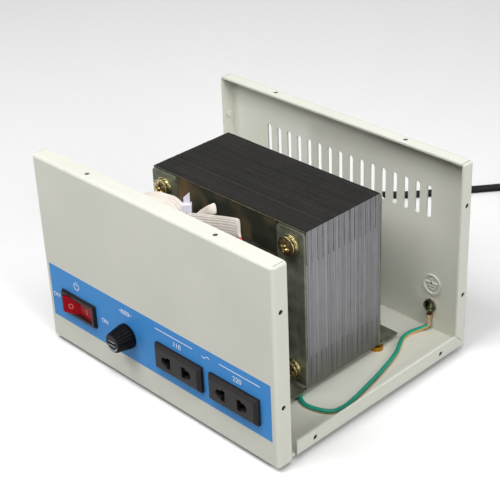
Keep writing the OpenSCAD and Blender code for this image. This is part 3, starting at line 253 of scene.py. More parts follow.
# points to be numbered in rows: the points, the number of each, its row, and whether that row is an odd one
def rowsOfPoints(add, rows, perRow, step):
    index = add("GeometryNodeInputIndex", {})
    count = add("Math MULTIPLY", {0: rows, 1: perRow})
    points = add("GeometryNodeMeshLine", {"mode": "OFFSET", "Count": count, "Offset": step})
    row = add("Math FLOOR", {0: add("Math DIVIDE", {0: index, 1: perRow})})
    return points, index, row, add("Math MODULO", {0: row, 1: 2.0})


# closes a tree: instances made real, the material set
def endTree(add, geometry, material):
    real = add("GeometryNodeRealizeInstances", {"Geometry": geometry})
    finished = add("GeometryNodeSetMaterial", {"Geometry": real, "Material": material})
    add("NodeGroupOutput", {0: finished})


# runs a tree on a mesh with the given values and hands back the plain mesh
def grownMesh(name, mesh, tree, values):
    obj = linkedObject(name + "Source", mesh)
    modifier = obj.modifiers.new(name, "NODES")
    modifier.node_group = tree
    for item in tree.interface.items_tree:
        if item.in_out == "INPUT" and item.name in values:
            modifier[item.identifier] = values[item.name]
    grown = bakedMesh(obj)
    grown.name = name
    return grown


# Materials
def startMaterial(name):
    material = bpy.data.materials.new(name)
    material.use_nodes = True
    material.node_tree.nodes.clear()
    add = functools.partial(addNode, material.node_tree)
    return material, add, add("TexCoord", {}).outputs["Object"]


def endMaterial(add, entries):
    shader = add("BsdfPrincipled", entries)
    add("OutputMaterial", {"Surface": shader})


# lays a colour over another, up to the given share, where a pattern rises from low to high
def layTone(add, colour, pattern, low, high, shade, share=1.0):
    part = add("MapRange", {"From Min": low, "From Max": high, "To Max": share, "Value": pattern})
    return add("Mix", {"data_type": "RGBA", 0: part, 6: colour, 7: shade})


# A finish made of noises: each has its size, its detail, and a mapping where it is stretched. The tones lie
# one over the other on the ground colour: noise, low, high, colour, share. Gloss is noise, least and most
# roughness, and relief is noise, strength and height
def layeredFinish(name, constants, ground, noises, tones, gloss, relief, mark=None):
    material, add, place = startMaterial(name)
    made = {}
    for key, (size, detail, *stretch) in noises.items():
        vector = add("Mapping", {"Vector": place, **stretch[0]}) if stretch else place
        made[key] = add("TexNoise", {"Scale": 1 / (size * mm), "Detail": detail, "Vector": vector})
    colour = ground
    for key, *tone in tones:
        colour = layTone(add, colour, made[key], *tone)
    if mark:
        colour = mark(add, colour)
    if gloss:
        key, least, most = gloss
        rough = add("MapRange", {"To Min": least, "To Max": most, "Value": made[key]})
        constants = {**constants, "Roughness": rough}
    key, strength, height = relief
    bump = add("Bump", {"Strength": strength, "Distance": height * mm, "Height": made[key]})
    endMaterial(add, {**constants, "Base Color": colour, "Normal": bump})
    return material


# Polyester powder coat, sprayed and baked: an even, slightly glossy skin with a fine orange peel
paint = layeredFinish(
    "creamPowderCoat", {"IOR": 1.5, "Specular IOR Level": 0.2}, "#DADACF",
    {"cloud": (45.0, 3.0), "peel": (1.3, 2.0), "grit": (0.35, 1.0)},
    [("cloud", 0.3, 0.7, "#D5D6CA"), ("grit", 0.66, 0.8, "#C4C4B8", 0.25)], ("peel", 0.34, 0.46),
    ("peel", 0.35, 0.06))


# Screen-printed enamel ink on the powder coat: flat and a little duller, with the mesh of the screen in it
def printedInk(name, shade, patch):
    return layeredFinish(
        name, {"IOR": 1.48, "Specular IOR Level": 0.2}, shade, {"cloud": (22.0, 4.0), "screen": (0.6, 1.0)},
        [("cloud", 0.3, 0.7, patch)], ("screen", 0.38, 0.5), ("screen", 0.25, 0.03))


# Moulded plastic or rubber with a spark-eroded skin: grain breaks the gloss, and flow marks vary the tone
def mouldedPlastic(name, shade, flow, roughness, grain=0.4, strength=0.4, level=0.2):
    return layeredFinish(
        name, {"IOR": 1.53, "Specular IOR Level": level}, shade, {"cloud": (9.0, 4.0), "skin": (grain, 2.0)},
        [("cloud", 0.35, 0.65, flow)], ("skin", roughness - 0.05, roughness + 0.07), ("skin", strength, 0.04))


# Plated or bare metal: the plating bath leaves soft clouds of tone, and handling leaves hair-fine scratches
def platedMetal(name, shade, cloudShade, roughness, cloudSize=4.0):
    return layeredFinish(
        name, {"Metallic": 1.0}, shade,
        {"cloud": (cloudSize, 4.0),
         "scratches": (0.3, 3.0, {"Scale": (1.0, 1.0, 0.12), "Rotation": (0.5, 0.3, 0.0)})},
        [("cloud", 0.35, 0.65, cloudShade)], ("cloud", roughness - 0.06, roughness + 0.12),
        ("scratches", 0.3, 0.03))


# Rolled steel sheet face under clear brown-green varnish: dark, with runs, and glossy enough to mirror. Its
# soft brown clouds are painted reflection
sheetVarnish = layeredFinish(
    "varnishedSheetFace", {"Metallic": 0.1, "Specular IOR Level": 0.3, "Coat Weight": 0.4,
                           "Coat Roughness": 0.06},
    "#31342B", {"cloud": (20.0, 2.0, {"Scale": (1.0, 1.0, 0.5)}), "runs": (7.0, 3.0)},
    # the brown clouds are painted reflection
    [("cloud", 0.44, 0.68, "#7E6848", 0.8)], ("runs", 0.1, 0.22), ("runs", 0.25, 0.2))

# Galvanised strip, folded, dipped with the core in its varnish: dark olive, glossy, with clouds of zinc
frameSteel = layeredFinish(
    "varnishedStrip", {"Metallic": 0.3, "Specular IOR Level": 0.25}, "#767B6D",
    {"spangle": (8.0, 4.0), "runs": (16.0, 3.0, {"Scale": (1.0, 1.0, 0.25)}), "dust": (0.6, 2.0)},
    [("spangle", 0.38, 0.64, "#5A5C4E"), ("runs", 0.5, 0.7, "#4B4033", 0.6)], ("dust", 0.24, 0.4),
    ("runs", 0.25, 0.08))

# Clear drawn glass of the fuse: a smooth tube with fine drawing lines
glass = layeredFinish("drawnGlass", {"IOR": 1.5, "Transmission Weight": 1.0, "Roughness": 0.03}, "#E6F0F0",
                      {"lines": (0.8, 2.0, {"Scale": (1.0, 0.1, 1.0)})}, [], None, ("lines", 0.1, 0.02))


# Extruded PVC insulation: waxy and smooth, and marked along its length if it has a second colour
def extrudedPvc(name, shade, shadowShade, roughness=0.36, level=0.4, mark=None):
    return layeredFinish(
        name, {"IOR": 1.54, "Specular IOR Level": level}, shade, {"cloud": (6.0, 3.0), "skin": (0.5, 2.0)},
        [("cloud", 0.35, 0.65, shadowShade)], ("skin", roughness - 0.04, roughness + 0.08),
        ("skin", 0.3, 0.03), mark)


# the earth wire's second colour: a stripe over part of its girth that winds slowly, in turns per metre
def earthStripe(add, colour):
    s = {"from": 0.24, "to": 0.49, "twist": 0.8, "shade": "#E0A040"}
    axes = add("SeparateXYZ", {"Vector": add("UVMap", {"uv_map": "alongPath"})}).outputs
    turned = add("Math MULTIPLY_ADD", {0: axes["Y"], 1: s["twist"], 2: axes["X"]})
    share = add("Math FRACT", {0: turned})
    after = add("Math GREATER_THAN", {0: share, 1: s["from"]})
    before = add("Math LESS_THAN", {0: share, 1: s["to"]})
    inside = add("Math MULTIPLY", {0: after, 1: before})
    return add("Mix", {"data_type": "RGBA", 0: inside, 6: colour, 7: s["shade"]})


# Silicon steel sheets, punched and stacked. The cut edges are bare and grey, each a little different, with
# burrs that catch the light, and an olive tone that grows darker towards the bottom. Dull brown-black
# impregnating varnish lies on the top
def siliconSteel(name, edgeDark, edgeLight, level):
    sizes = {"streak": 14.0, "thin": 0.28, "speck": 0.8, "run": 11.0, "lowerToneTop": 34.0, "lowerToneFull": 12.0}
    material, add, place = startMaterial(name)
    normal = add("NewGeometry", {}).outputs["Normal"]
    facing = add("SeparateXYZ", {"Vector": normal}).outputs["Z"]
    height = add("SeparateXYZ", {"Vector": place}).outputs["Z"]
    shade = add("Attribute", {"attribute_name": "sheetShade"}).outputs["Fac"]
    long, thin = 1 / (sizes["streak"] * mm), 1 / (sizes["thin"] * mm)
    stretched = add("Mapping", {"Scale": (long, thin, long), "Vector": place})
    streak, speck, runs = [
        add("TexNoise", {"Scale": scale, "Detail": detail, "Roughness": rough, "Vector": vector})
        for scale, detail, rough, vector in (
            (1.0, 3.0, 0.65, stretched), (1 / (sizes["speck"] * mm), 3.0, 0.75, place),
            (1 / (sizes["run"] * mm), 5.0, 0.6, place))]
    edge, top = [add("Mix", {"data_type": "RGBA", 0: shade, 6: dark, 7: light})
                 for dark, light in ((edgeDark, edgeLight), ("#0F0F0E", "#282726"))]
    edge = layTone(add, edge, streak, 0.45, 0.7, "#6B6A6E", 0.6)
    # a dark line where a group of sheets begins, worn away in places
    line = add("MapRange", {"From Max": 0.05, "To Min": 1.0, "To Max": 0.0, "Value": shade})
    wear = add("MapRange", {"From Min": 0.38, "From Max": 0.58, "To Min": 0.15, "To Max": 0.9, "Value": runs})
    lineShare = add("Math MULTIPLY", {0: line, 1: wear})
    edge = add("Mix", {"data_type": "RGBA", 0: lineShare, 6: edge, 7: "#29282A"})
    # an olive tone over the cut edges, darker towards the bottom
    lowerTone = add("MapRange", {
        "From Min": sizes["lowerToneTop"] * mm, "From Max": sizes["lowerToneFull"] * mm, "To Max": 0.62,
        "Value": height})
    lowerToneRuns = add("Math MULTIPLY_ADD", {0: runs, 1: 0.5, 2: lowerTone})
    edge = layTone(add, edge, lowerToneRuns, 0.2, 1.0, "#66665A", 0.8)
    top = layTone(add, top, speck, 0.52, 0.72, "#403D3B", 0.65)
    top = layTone(add, top, runs, 0.55, 0.75, "#301F21", 0.35)
    isTop = add("Math GREATER_THAN", {0: facing, 1: 0.7})
    colour = add("Mix", {"data_type": "RGBA", 0: isTop, 6: edge, 7: top})
    bare = add("MapRange", {"To Min": 0.75, "To Max": 0.0, "Value": isTop})
    rough = add("MapRange", {"To Min": 0.4, "To Max": 0.6, "Value": speck})
    rougher = add("Math MULTIPLY_ADD", {0: isTop, 1: 0.28, 2: rough})
    relief = add("Math ADD", {0: streak, 1: speck})
    bump = add("Bump", {"Strength": 0.5, "Distance": 0.06 * mm, "Height": relief})
    endMaterial(add, {
        "Specular IOR Level": level, "Base Color": colour, "Metallic": bare, "Roughness": rougher,
        "Normal": bump})
    return material


# Lapped polyester tape under impregnating varnish: dark, satin, with a step at each lap and runs of varnish
def lappedTape():
    sizes = {"lap": 9.0, "wrinkle": 3.5, "weave": 0.7, "step": 0.35}
    material, add, place = startMaterial("varnishedTape")
    tilt = add("Mapping", {"Rotation": (0.0, math.radians(6), 0.0), "Vector": place})
    along = add("SeparateXYZ", {"Vector": tilt}).outputs["Z"]
    lap = add("Math DIVIDE", {0: along, 1: sizes["lap"] * mm})
    saw = add("Math FRACT", {0: lap})
    wrinkle, weave = [add("TexNoise", {"Scale": 1 / (sizes[key] * mm), "Detail": detail, "Vector": place})
                      for key, detail in (("wrinkle", 4.0), ("weave", 1.0))]
    colour = add("Mix", {"data_type": "RGBA", 0: saw, 6: "#1B1817", 7: "#2B2622"})
    colour = layTone(add, colour, wrinkle, 0.5, 0.75, "#3C3127", 0.6)
    height = add("Math ADD", {0: saw, 1: wrinkle})
    height = add("Math MULTIPLY_ADD", {0: weave, 1: 0.15, 2: height})
    bump = add("Bump", {"Strength": 0.8, "Distance": sizes["step"] * mm, "Height": height})
    rough = add("MapRange", {"To Min": 0.38, "To Max": 0.62, "Value": wrinkle})
    endMaterial(add, {"IOR": 1.55, "Specular IOR Level": 0.3, "Coat Weight": 0.12, "Coat Roughness": 0.25,
                      "Base Color": colour, "Roughness": rough, "Normal": bump})
    return material


# Woven cotton sleeve: soft, off-white, with ribs and cross threads that are drawn coarse enough to show. The
# low parts of the weave are coloured darker, as painted shade in the grooves
def wovenCotton():
    sizes = {"thread": 0.8, "fuzz": 0.5, "stain": 7.0, "height": 0.1}
    ribCount = 22
    material, add, place = startMaterial("wovenCottonSleeve")
    axes = add("SeparateXYZ", {"Vector": add("UVMap", {"uv_map": "alongPath"})}).outputs
    waves = []
    for axis, radiansPerUnit in (("X", 2 * math.pi * ribCount), ("Y", 2 * math.pi / (sizes["thread"] * mm))):
        phase = add("Math MULTIPLY", {0: axes[axis], 1: radiansPerUnit})
        waves.append(add("Math SINE", {0: phase}))
    ribs, threads = waves
    weave = add("Math MULTIPLY_ADD", {0: threads, 1: 0.35, 2: ribs})
    fuzz, stain = [add("TexNoise", {"Scale": 1 / (sizes[key] * mm), "Detail": detail, "Vector": place})
                   for key, detail in (("fuzz", 2.0), ("stain", 3.0))]
    colour = layTone(add, "#F3EEE6", stain, 0.35, 0.7, "#EADFD6")
    # painted shade in the grooves of the weave
    grooveShade = add("MapRange", {"From Min": -1.2, "From Max": 0.4, "To Min": 0.55, "To Max": 0.0,
                              "Value": weave})
    colour = add("Mix", {"data_type": "RGBA", 0: grooveShade, 6: colour, 7: "#D5C4B2"})
    height = add("Math MULTIPLY_ADD", {0: fuzz, 1: 0.8, 2: weave})
    bump = add("Bump", {"Strength": 0.6, "Distance": sizes["height"] * mm, "Height": height})
    endMaterial(add, {"IOR": 1.45, "Roughness": 0.92, "Specular IOR Level": 0.15, "Sheen Weight": 0.2,
                      "Sheen Roughness": 0.6, "Base Color": colour, "Normal": bump})
    return material


blueInk = printedInk("blueScreenPrint", "#3D8BD2", "#4190D6")
whiteInk = printedInk("whiteScreenPrint", "#F1F4F6", "#E9EEF2")
rockerPrint = printedInk("rockerPrint", "#E08C84", "#DA8078")
# pale paint for the highlights painted on the fuse cap's face
capPrint = printedInk("capPrint", "#D9DCE0", "#C4C8CC")
nylonBlack = mouldedPlastic("mouldedBlackNylon", "#221D1C", "#1B1819", 0.42, level=0.16)
phenolic = mouldedPlastic("blackPhenolic", "#0B0B0E", "#101013", 0.26, grain=0.6, strength=0.25, level=0.11)
rockerRed = mouldedPlastic("redPolycarbonate", "#A00A16", "#8C0818", 0.3, grain=1.2, strength=0.1, level=0.05)
footRubber = mouldedPlastic("mouldedRubber", "#1C1C1E", "#161618", 0.72, grain=0.5, strength=0.6, level=0.15)
nylonNatural = mouldedPlastic("naturalNylon", "#DDDAE8", "#D3D0E0", 0.34, grain=0.9, strength=0.2, level=0.3)
bobbinPlastic = mouldedPlastic("glassFilledNylon", "#2E2620", "#251F1B", 0.5)
cordPlug = mouldedPlastic("mouldedPvcPlug", "#151518", "#1A1A1D", 0.5, grain=0.6)
beadVarnish = mouldedPlastic("varnishBead", "#4C4524", "#39351F", 0.25, grain=2.0, strength=0.3, level=0.4)
yellowZinc = platedMetal("yellowZincPlate", "#D2C49C", "#7E6C48", 0.16, 1.6)
paleZinc = platedMetal("clearZincPlate", "#DDD3A8", "#B5AB80", 0.22, 2.5)
oliveZinc = platedMetal("oliveZincPlate", "#8A8A6E", "#2B2C1A", 0.14, 1.2)
tinnedCopper = platedMetal("tinnedCopper", "#E6E0D8", "#BE8A66", 0.24, 1.6)
enamelCopper = platedMetal("enamelledCopper", "#B4663A", "#9C532C", 0.25, 3.0)
spacerBrass = platedMetal("turnedBrass", "#C8962F", "#A3741F", 0.3, 2.0)
brass = platedMetal("pressedBrass", "#D0B25E", "#BE9E4C", 0.28)
nickel = platedMetal("nickelPlate", "#D6D3CB", "#C8C4BA", 0.22)
springSteel = platedMetal("springSteel", "#B4B4B0", "#9A9A96", 0.3)
# dark steel for the discs in the cover's screw holes: painted shade
holeShade = platedMetal("phosphatedSteel", "#2A2A28", "#1E1E1D", 0.5)
eSheetSteel = siliconSteel("eSheetSteel", "#7C7C80", "#9C9CA0", 0.12)
iSheetSteel = siliconSteel("iSheetSteel", "#7A7A7E", "#98989C", 0.12)
tape = lappedTape()
cotton = wovenCotton()
earthPvc = extrudedPvc("earthPvc", "#12957A", "#0E8A74", mark=earthStripe)
bluePvc = extrudedPvc("bluePvc", "#2C5CA6", "#254F93")
brownPvc = extrudedPvc("brownPvc", "#6A3E28", "#5C3421")
redPvc = extrudedPvc("redPvc", "#B3222B", "#A01B24")
cordPvc = extrudedPvc("cordPvc", "#121215", "#17171A", 0.5, 0.12)

# Floor
floorSettings = {"half": 4.0, "seen": "#F8F8F8", "fibre": "#F5F5F5", "fibreScale": 120.0, "bounce": "#7A7A78"}


# Uncoated paper: white and dull with a faint fibre, and darker for the light that it throws back up
def palePaper():
    s = floorSettings
    material, add, place = startMaterial("palePaper")
    fibre = add("TexNoise", {"Scale": s["fibreScale"], "Vector": place})
    colour = add("Mix", {"data_type": "RGBA", 0: fibre, 6: s["seen"], 7: s["fibre"]})
    bounced = add("LightPath", {}).outputs["Is Diffuse Ray"]
    colour = add("Mix", {"data_type": "RGBA", 0: bounced, 6: colour, 7: s["bounce"]})
    endMaterial(add, {"Roughness": 0.9, "Specular IOR Level": 0.1, "Base Color": colour})
    return material


half = floorSettings["half"]
floorMesh = bpy.data.meshes.new("floor")
floorMesh.from_pydata([(-half, -half, 0), (half, -half, 0), (half, half, 0), (-half, half, 0)], [],
                      [(0, 1, 2, 3)])
floorMesh.materials.append(palePaper())
linkedObject("floor", floorMesh)
print("camera, light, floor and materials made")

# Mains cord
cordSettings = {
    "diameter": 5.4, "sides": 14, "steps": 4,
    "run": [(-75, 107.5, 30), (-75, 116, 28.5), (-75.5, 128, 22), (-76.5, 140, 14), (-77.5, 152, 7),
            (-78, 164, 3.4), (-78.5, 175, 2.7), (-77, 186, 2.7), (-73, 195, 2.7), (-67, 202, 2.7),
            (-60, 208, 2.7), (-53, 215, 2.7), (-46.5, 223, 2.7), (-39, 232.5, 2.7), (-31, 243, 2.7),
            (-22, 254, 2.7), (-11, 268, 2.7), (1, 283, 2.7)],
    "coilEntry": (19, 305, 2.7), "coilStart": 140.0, "turns": 6 + 140 / 360, "coilRadius": 41.0, "pitch": 6.0,
    "ringsPerTurn": 36,
}


# along the floor to the coil, inwards in its lower layer and outwards in its upper one
def mainsCordPath():
    s = cordSettings
    start = math.radians(s["coilStart"])
    heading = Vector((math.sin(start), -math.cos(start), 0))
    entry = Vector(s["coilEntry"])
    middle = entry - s["coilRadius"] * Vector((math.cos(start), math.sin(start), 0))
    half = s["turns"] / 2
    path = settle(smoothPath(s["run"] + [tuple(entry - heading * s["diameter"])], s["steps"]),
                  s["diameter"] / 2)
    rings = int(s["turns"] * s["ringsPerTurn"])
    for k in range(rings + 1):
        t = s["turns"] * k / rings
        radius = s["coilRadius"] - s["pitch"] * (half - abs(t - half))
        rise = s["pitch"] * max(0, min(1, 2 * (t - half) + 0.5))
        angle = start - 2 * math.pi * t
        path.append(Vector((middle.x + radius * math.cos(angle), middle.y + radius * math.sin(angle),
                            s["diameter"] / 2 + rise)))
    angle = start - 2 * math.pi * s["turns"]
    path.append(path[-1] + Vector((math.sin(angle), -math.cos(angle), 0)) * s["diameter"])
    return path


c = cordSettings
cordPath = mainsCordPath()
cordMesh = sweepMesh("mains_cord", cordPath, lambda share: roundOutline(c["diameter"] / 2, c["sides"]),
                     endTangents=((0, 1, 0), (0, -1, 0)))
mainsCord = addPiece("mains_cord", cordMesh, cordPvc, replaced=("power_cord", "power_cord_coil"))

# Inner wires
wireZ, leadZ = 6.7, 6.5
wireSides, wireSteps = 14, 6
wireSettings = {
    "earth_lead": {"replaced": "earth_wire", "finish": earthPvc, "diameter": 2.8,
                   "ends": ((0, 0, -1), (0, 1, 0)), "points": [
        (74, 78.35, 9.6), (73.2, 76.4, 7.8), (71.4, 73, 7), (69.4, 67, wireZ), (69.2, 62, wireZ),
        (70, 57.5, wireZ), (72.3, 52.9, wireZ), (77.8, 41.7, wireZ), (83, 23.9, wireZ), (86.9, 6, wireZ),
        (90.4, -13.5, wireZ), (90.1, -23, wireZ), (86.9, -28, wireZ), (79.4, -31.4, wireZ),
        (72.3, -32.2, wireZ), (66.5, -29.7, wireZ), (64.3, -26.9, wireZ), (61.2, -20.5, wireZ),
        (57, -12, wireZ), (44, -2, wireZ), (20, 3, wireZ), (-10, 7, wireZ), (-40, 12, wireZ),
        (-60, 18, wireZ), (-70.1, 30, wireZ), (-74, 44, wireZ), (-74.4, 56, 9), (-74.4, 64, 16),
        (-74, 70, 24), (-73, 74.5, 28.5), (-73, 77.5, 28.9)]},
    "live_wire": {"replaced": "live_lead", "finish": brownPvc, "diameter": 2.4,
                  "ends": ((0, -1, 0), (0, -1, 0)), "points": [
        (-75, 77.5, 32), (-75, 73.5, 32), (-79.9, 62, 20), (-85, 48, leadZ), (-87, 30, leadZ),
        (-87.8, -20, leadZ), (-83.9, -38, 9), (-78, -45, 22), (-75.5, -52, 34.5), (-75.5, -55, 35.5)]},
    "neutral_wire": {"replaced": "neutral_lead", "finish": bluePvc, "diameter": 2.4,
                     "ends": ((0, -1, 0), None), "points": [
        (-77, 77.5, 28.9), (-77, 73.5, 28.5), (-87, 60, 17), (-91.3, 46, leadZ), (-93.5, 20, leadZ),
        (-92.9, -36, leadZ), (-90, -48, 12), (-85, -57, 34), (-81, -58.5, 52), (-78.1, -59.5, 61.7)]},
    "switch_wire": {"replaced": "switch_fuse_lead", "finish": brownPvc, "diameter": 2.4,
                    "ends": ((0, 1, 0), (0, -1, 0)), "points": [
        (-61.5, -55, 35.5), (-60.5, -52, 35), (-55, -46, 32), (-42, -44.6, 31), (-32, -44, 32),
        (-26.5, -43.6, 34.6), (-23.5, -45, 35.5)]},
    "fuse_wire": {"replaced": "fuse_coil_lead", "finish": redPvc, "diameter": 2.4, "ends": (None, None),
                  "points": [
        (-23.5, -57.3, 43.6), (-24, -60, 46), (-32, -62, 54), (-50, -63, 58), (-68, -62.5, 58),
        (-75.6, -62.8, 59), (-78.1, -62.6, 61.7)]},
}
for wireName, wire in wireSettings.items():
    path = settle(smoothPath(wire["points"], wireSteps), wireZ if wireName == "earth_lead" else leadZ)
    mesh = sweepMesh(wireName, path, lambda share: roundOutline(wire["diameter"] / 2, wireSides),
                     endTangents=wire["ends"])
    addPiece(wireName, mesh, wire["finish"], replaced=(wire["replaced"],))

# the middle of each fitting in the front panel, along the panel, and the height that they share
frontRow = {"switch": -68.5, "fuse": -23.5, "outlets": (23, 68), "z": 35.5}
outputSettings = {
    "flatPin": 6.4, "tabEnd": -56.0, "firstLead": 19.6, "leadPitch": 4.5, "radius": 1.2, "sides": 12,
    "reference": (1, 0.1, 0.1),
    # how far across to its place at the coil, y, z, and how much lower each further lead runs
    "climb": [(0.25, -49.5, 47.5, 0), (0.5, -47, 62, 0), (1, -45.5, 76, 0), (1, -44, 84, 1),
              (1, -41.8, 87, 1)],
    "flatLead": [(71.4, -50.5, 47.5), (62, -50.5, 60), (50, -49.5, 80), (42.5, -47.1, 98),
                 (40.5, -45.7, 105.5), (38.2, -45.1, 109.1)],
}


# four leads from the outlets' tabs: three rise to the coil's face, and the last goes to the flat sleeve
def outputWires():
    o = outputSettings
    work = bmesh.new()
    for i in range(4):
        x = frontRow["outlets"][i // 2] + (-1 if i % 2 == 0 else 1) * o["flatPin"]
        u = o["firstLead"] + o["leadPitch"] * i
        points = [(x, o["tabEnd"], frontRow["z"]), (x, o["tabEnd"] + 3, frontRow["z"] + 1)]
        if i < 3:
            points += [(x * (1 - across) + u * across, y, z - drop * i) for across, y, z, drop in o["climb"]]
        else:
            points += o["flatLead"]
        before = len(work.faces)
        sweepMesh("outputWire", smoothPath(points, wireSteps),
                  lambda share: roundOutline(o["radius"], o["sides"]),
                  o["reference"], work, ((0, 1, 0), (0, 1, 0) if i < 3 else None))
        work.faces.ensure_lookup_table()
        for face in work.faces[before:]:
            face.material_index = i % 2
    mesh = finishMesh(work, "output_wires")
    for material in (bluePvc, redPvc):
        mesh.materials.append(material)
    return mesh


addPiece("output_wires", outputWires(), None, replaced=("output_leads",))
print("inner wires made")

# Cotton sleeves
sleeveSettings = {
    "pitch": 3.1, "wide": 3.1, "thick": 1.45, "ribs": 6, "ribDepth": 0.1, "steps": 7, "sides": 48,
    "squeezeFrom": -29.5, "squeezeOver": 20.0, "squeezed": 0.6, "reference": (0.1, 1, 0.1),
    "left": [(-78, -61, 62), (-72.5, -56, 80.4), (-62.5, -47.5, 93.8), (-51, -41.7, 99.8),
             (-42.5, -41.1, 103.5), (-32.5, -41.1, 105.2), (-25, -41.5, 106.4), (-18.1, -42.5, 106),
             (-13.9, -43.1, 102.8), (-8.5, -43.5, 101.6), (-3.5, -43.5, 101.6)],
    "loop": [(-0.3, -39.9, 104.3), (5, -38.5, 109.6), (9.5, -37.9, 114.1), (12.1, -38.9, 115.7),
             (10.1, -40.6, 114.6), (5, -41.3, 110.4), (0.5, -41.6, 106)],
    "flat": [(-1.9, -45.1, 104.2), (1.5, -45.1, 105.1), (8, -45.1, 107.1), (17.5, -45.1, 109.7),
             (27.5, -45.1, 112.5), (38.1, -45.1, 115.1)],
    "flatWide": 6.3, "flatThick": 1.0, "flatRibs": 12, "flatRibDepth": 0.03, "flatSteps": 9, "flatSides": 96,
    "flatEnd": (1, 0, -0.1),
}


# a flattened tube with shallow ribs on its two broad faces
def sleeveOutline(wide, thick, ribs, depth, sides):
    points = []
    for k in range(sides):
        a = 2 * math.pi * k / sides
        lift = 1 - depth * (0.5 + 0.5 * math.cos(2 * ribs * a))
        points.append((wide * math.cos(a) * (1 - 0.4 * (1 - lift)), thick * math.sin(a) * lift))
    return points


# how far the sleeves are pressed together on their way to the tie
def squeezeAt(x):
    s = sleeveSettings
    return 1 - (1 - s["squeezed"]) * min(1, max(0, (x - s["squeezeFrom"]) / s["squeezeOver"]))


def cottonSleeves():
    s = sleeveSettings
    work = bmesh.new()
    for k in range(4):
        points = [(x, y + (k - 1.5) * s["pitch"] * squeezeAt(x), z) for x, y, z in s["left"]]
        path = smoothPath(points + (s["loop"] if k == 3 else []), s["steps"])
        outlines = [sleeveOutline(s["wide"], squeezeAt(p.x) * s["thick"], s["ribs"], s["ribDepth"],
                                  s["sides"]) for p in path]
        sweepMesh("sleeve", path, lambda share: outlines[round(share * (len(path) - 1))], s["reference"],
                  work)
    flatOutline = sleeveOutline(s["flatWide"], s["flatThick"], s["flatRibs"], s["flatRibDepth"],
                                s["flatSides"])
    sweepMesh("flatSleeve", smoothPath(s["flat"], s["flatSteps"]), lambda share: flatOutline, s["reference"],
              work, (None, s["flatEnd"]))
    return finishMesh(work, "cotton_sleeves")


addPiece("cotton_sleeves", cottonSleeves(), cotton, replaced=("lead_sleeves",))
print("cotton sleeves made")

# Wrapped coil
coilModifiers = {"REMESH": {"mode": "VOXEL", "voxel_size": 1.4 * mm, "use_smooth_shade": True},
                 "SMOOTH": {"factor": 0.5, "iterations": 8}}
addPiece("wrapped_coil", modifiedCopy("coil_wrap", False, coilModifiers), tape, replaced=("coil_wrap",))
print("coil wrapped")

# Fittings with broken edges
brokenEdge = {"segments": 2, "limit_method": "ANGLE", "angle_limit": math.radians(28),
              "use_clamp_overlap": True, "harden_normals": True}
for nodeName, width, material, body in (
        ("switch_housing", 0.35, nylonBlack, "chassis"), ("outlet_1_body", 0.45, nylonBlack, "chassis"),
        ("outlet_2_body", 0.45, nylonBlack, "chassis"), ("switch_rocker", 0.5, rockerRed, "rocker"),
        ("end_frame_front", 0.25, frameSteel, "chassis"), ("end_frame_rear", 0.25, frameSteel, "chassis"),
        ("clamp_bolts", 0.3, yellowZinc, "chassis"), ("clamp_flat_washers", 0.15, paleZinc, "chassis")):
    finished = modifiedCopy(nodeName, True, {"BEVEL": {**brokenEdge, "width": width * mm}})
    addPiece(nodeName + "_finished", finished, material, body, (nodeName,))
print("edges broken")

# Flat shapes in the front plane


# stands a flat mesh up with its front at the given place along Y
def standUp(mesh, face, thick, x=0.0, z=0.0):
    mesh.transform(Matrix.Translation((x * mm, (face - thick / 2) * mm, z * mm))
                   @ Matrix.Rotation(math.pi / 2, 4, "X"))
    return mesh


# a plate from loops of (x, z), of which the inner ones are holes
def flatPrint(name, loops, face, thick):
    curve = bpy.data.curves.new(name, "CURVE")
    curve.dimensions = "2D"
    curve.fill_mode = "BOTH"
    curve.extrude = thick / 2 * mm
    for loop in loops:
        spline = curve.splines.new("POLY")
        spline.points.add(len(loop) - 1)
        for point, (x, z) in zip(spline.points, loop):
            point.co = (x * mm, z * mm, 0, 1)
        spline.use_cyclic_u = True
    mesh = bakedMesh(linkedObject(name + "Curve", curve))
    mesh.shade_flat()
    return standUp(mesh, face, thick)


def textPrint(words, size, x, z, face, thick):
    curve = bpy.data.curves.new("print" + words, "FONT")
    curve.body = words
    curve.size = size * mm
    curve.align_x = "CENTER"
    curve.align_y = "CENTER"
    curve.extrude = thick / 2 * mm
    return standUp(bakedMesh(linkedObject(curve.name + "Text", curve)), face, thick, x, z)


def boxLoop(x0, x1, z0, z1):
    return [(x0, z0), (x1, z0), (x1, z1), (x0, z1)]


# a rectangle about its middle, from its half width and half height
def barLoop(x, z, halfWide, halfHigh):
    return boxLoop(x - halfWide, x + halfWide, z - halfHigh, z + halfHigh)


def ringLoop(x, z, radius, count=40, start=0.0, sweep=2 * math.pi):
    steps = count if sweep >= 2 * math.pi else count + 1
    return [(x + radius * math.cos(start + sweep * k / count),
             z + radius * math.sin(start + sweep * k / count))
            for k in range(steps)]


# part of a ring, with its start and its sweep in degrees
def arcLoop(x, z, outer, inner, start, sweep):
    turn = math.radians(start), math.radians(sweep)
    return ringLoop(x, z, outer, 30, *turn) + list(reversed(ringLoop(x, z, inner, 30, *turn)))


# Printing on the front panel
printSettings = {
    "face": -81.5, "thick": 0.05, "markThick": 0.04, "band": (-96.3, 95.9, 19.9, 57.0),
    "switchOpening": (15.6, 7.4), "fuseOpening": 7.6, "outletOpening": (19.2, 8.2),
    "words": (("OFF", 4.0, -91.6, 35.6), ("ON", 4.0, -44.4, 36.3), ("110", 4.6, 21, 48.0),
              ("220", 4.6, 70, 48.0)),
    "lines": ((2.8, 34.4), (56.3, 87.7)), "lineZ": (52.2, 52.7),
    "standbyRing": (-70, 50, 2.6, 2.1, 120, 300), "standbyStem": (-70.25, -69.75, 50.2, 53.4),
    "fuseFrame": ((-27.5, -20.5, 49.7, 52.3), (-27.1, -20.9, 50.1, 51.9)),
    "fuseWire": (-29.5, -18.5, 50.8, 51.2),
    "wave": {"x": 45.3, "z": 51.6, "half": 3.2, "swing": 0.9, "thick": 0.25, "steps": 24},
}


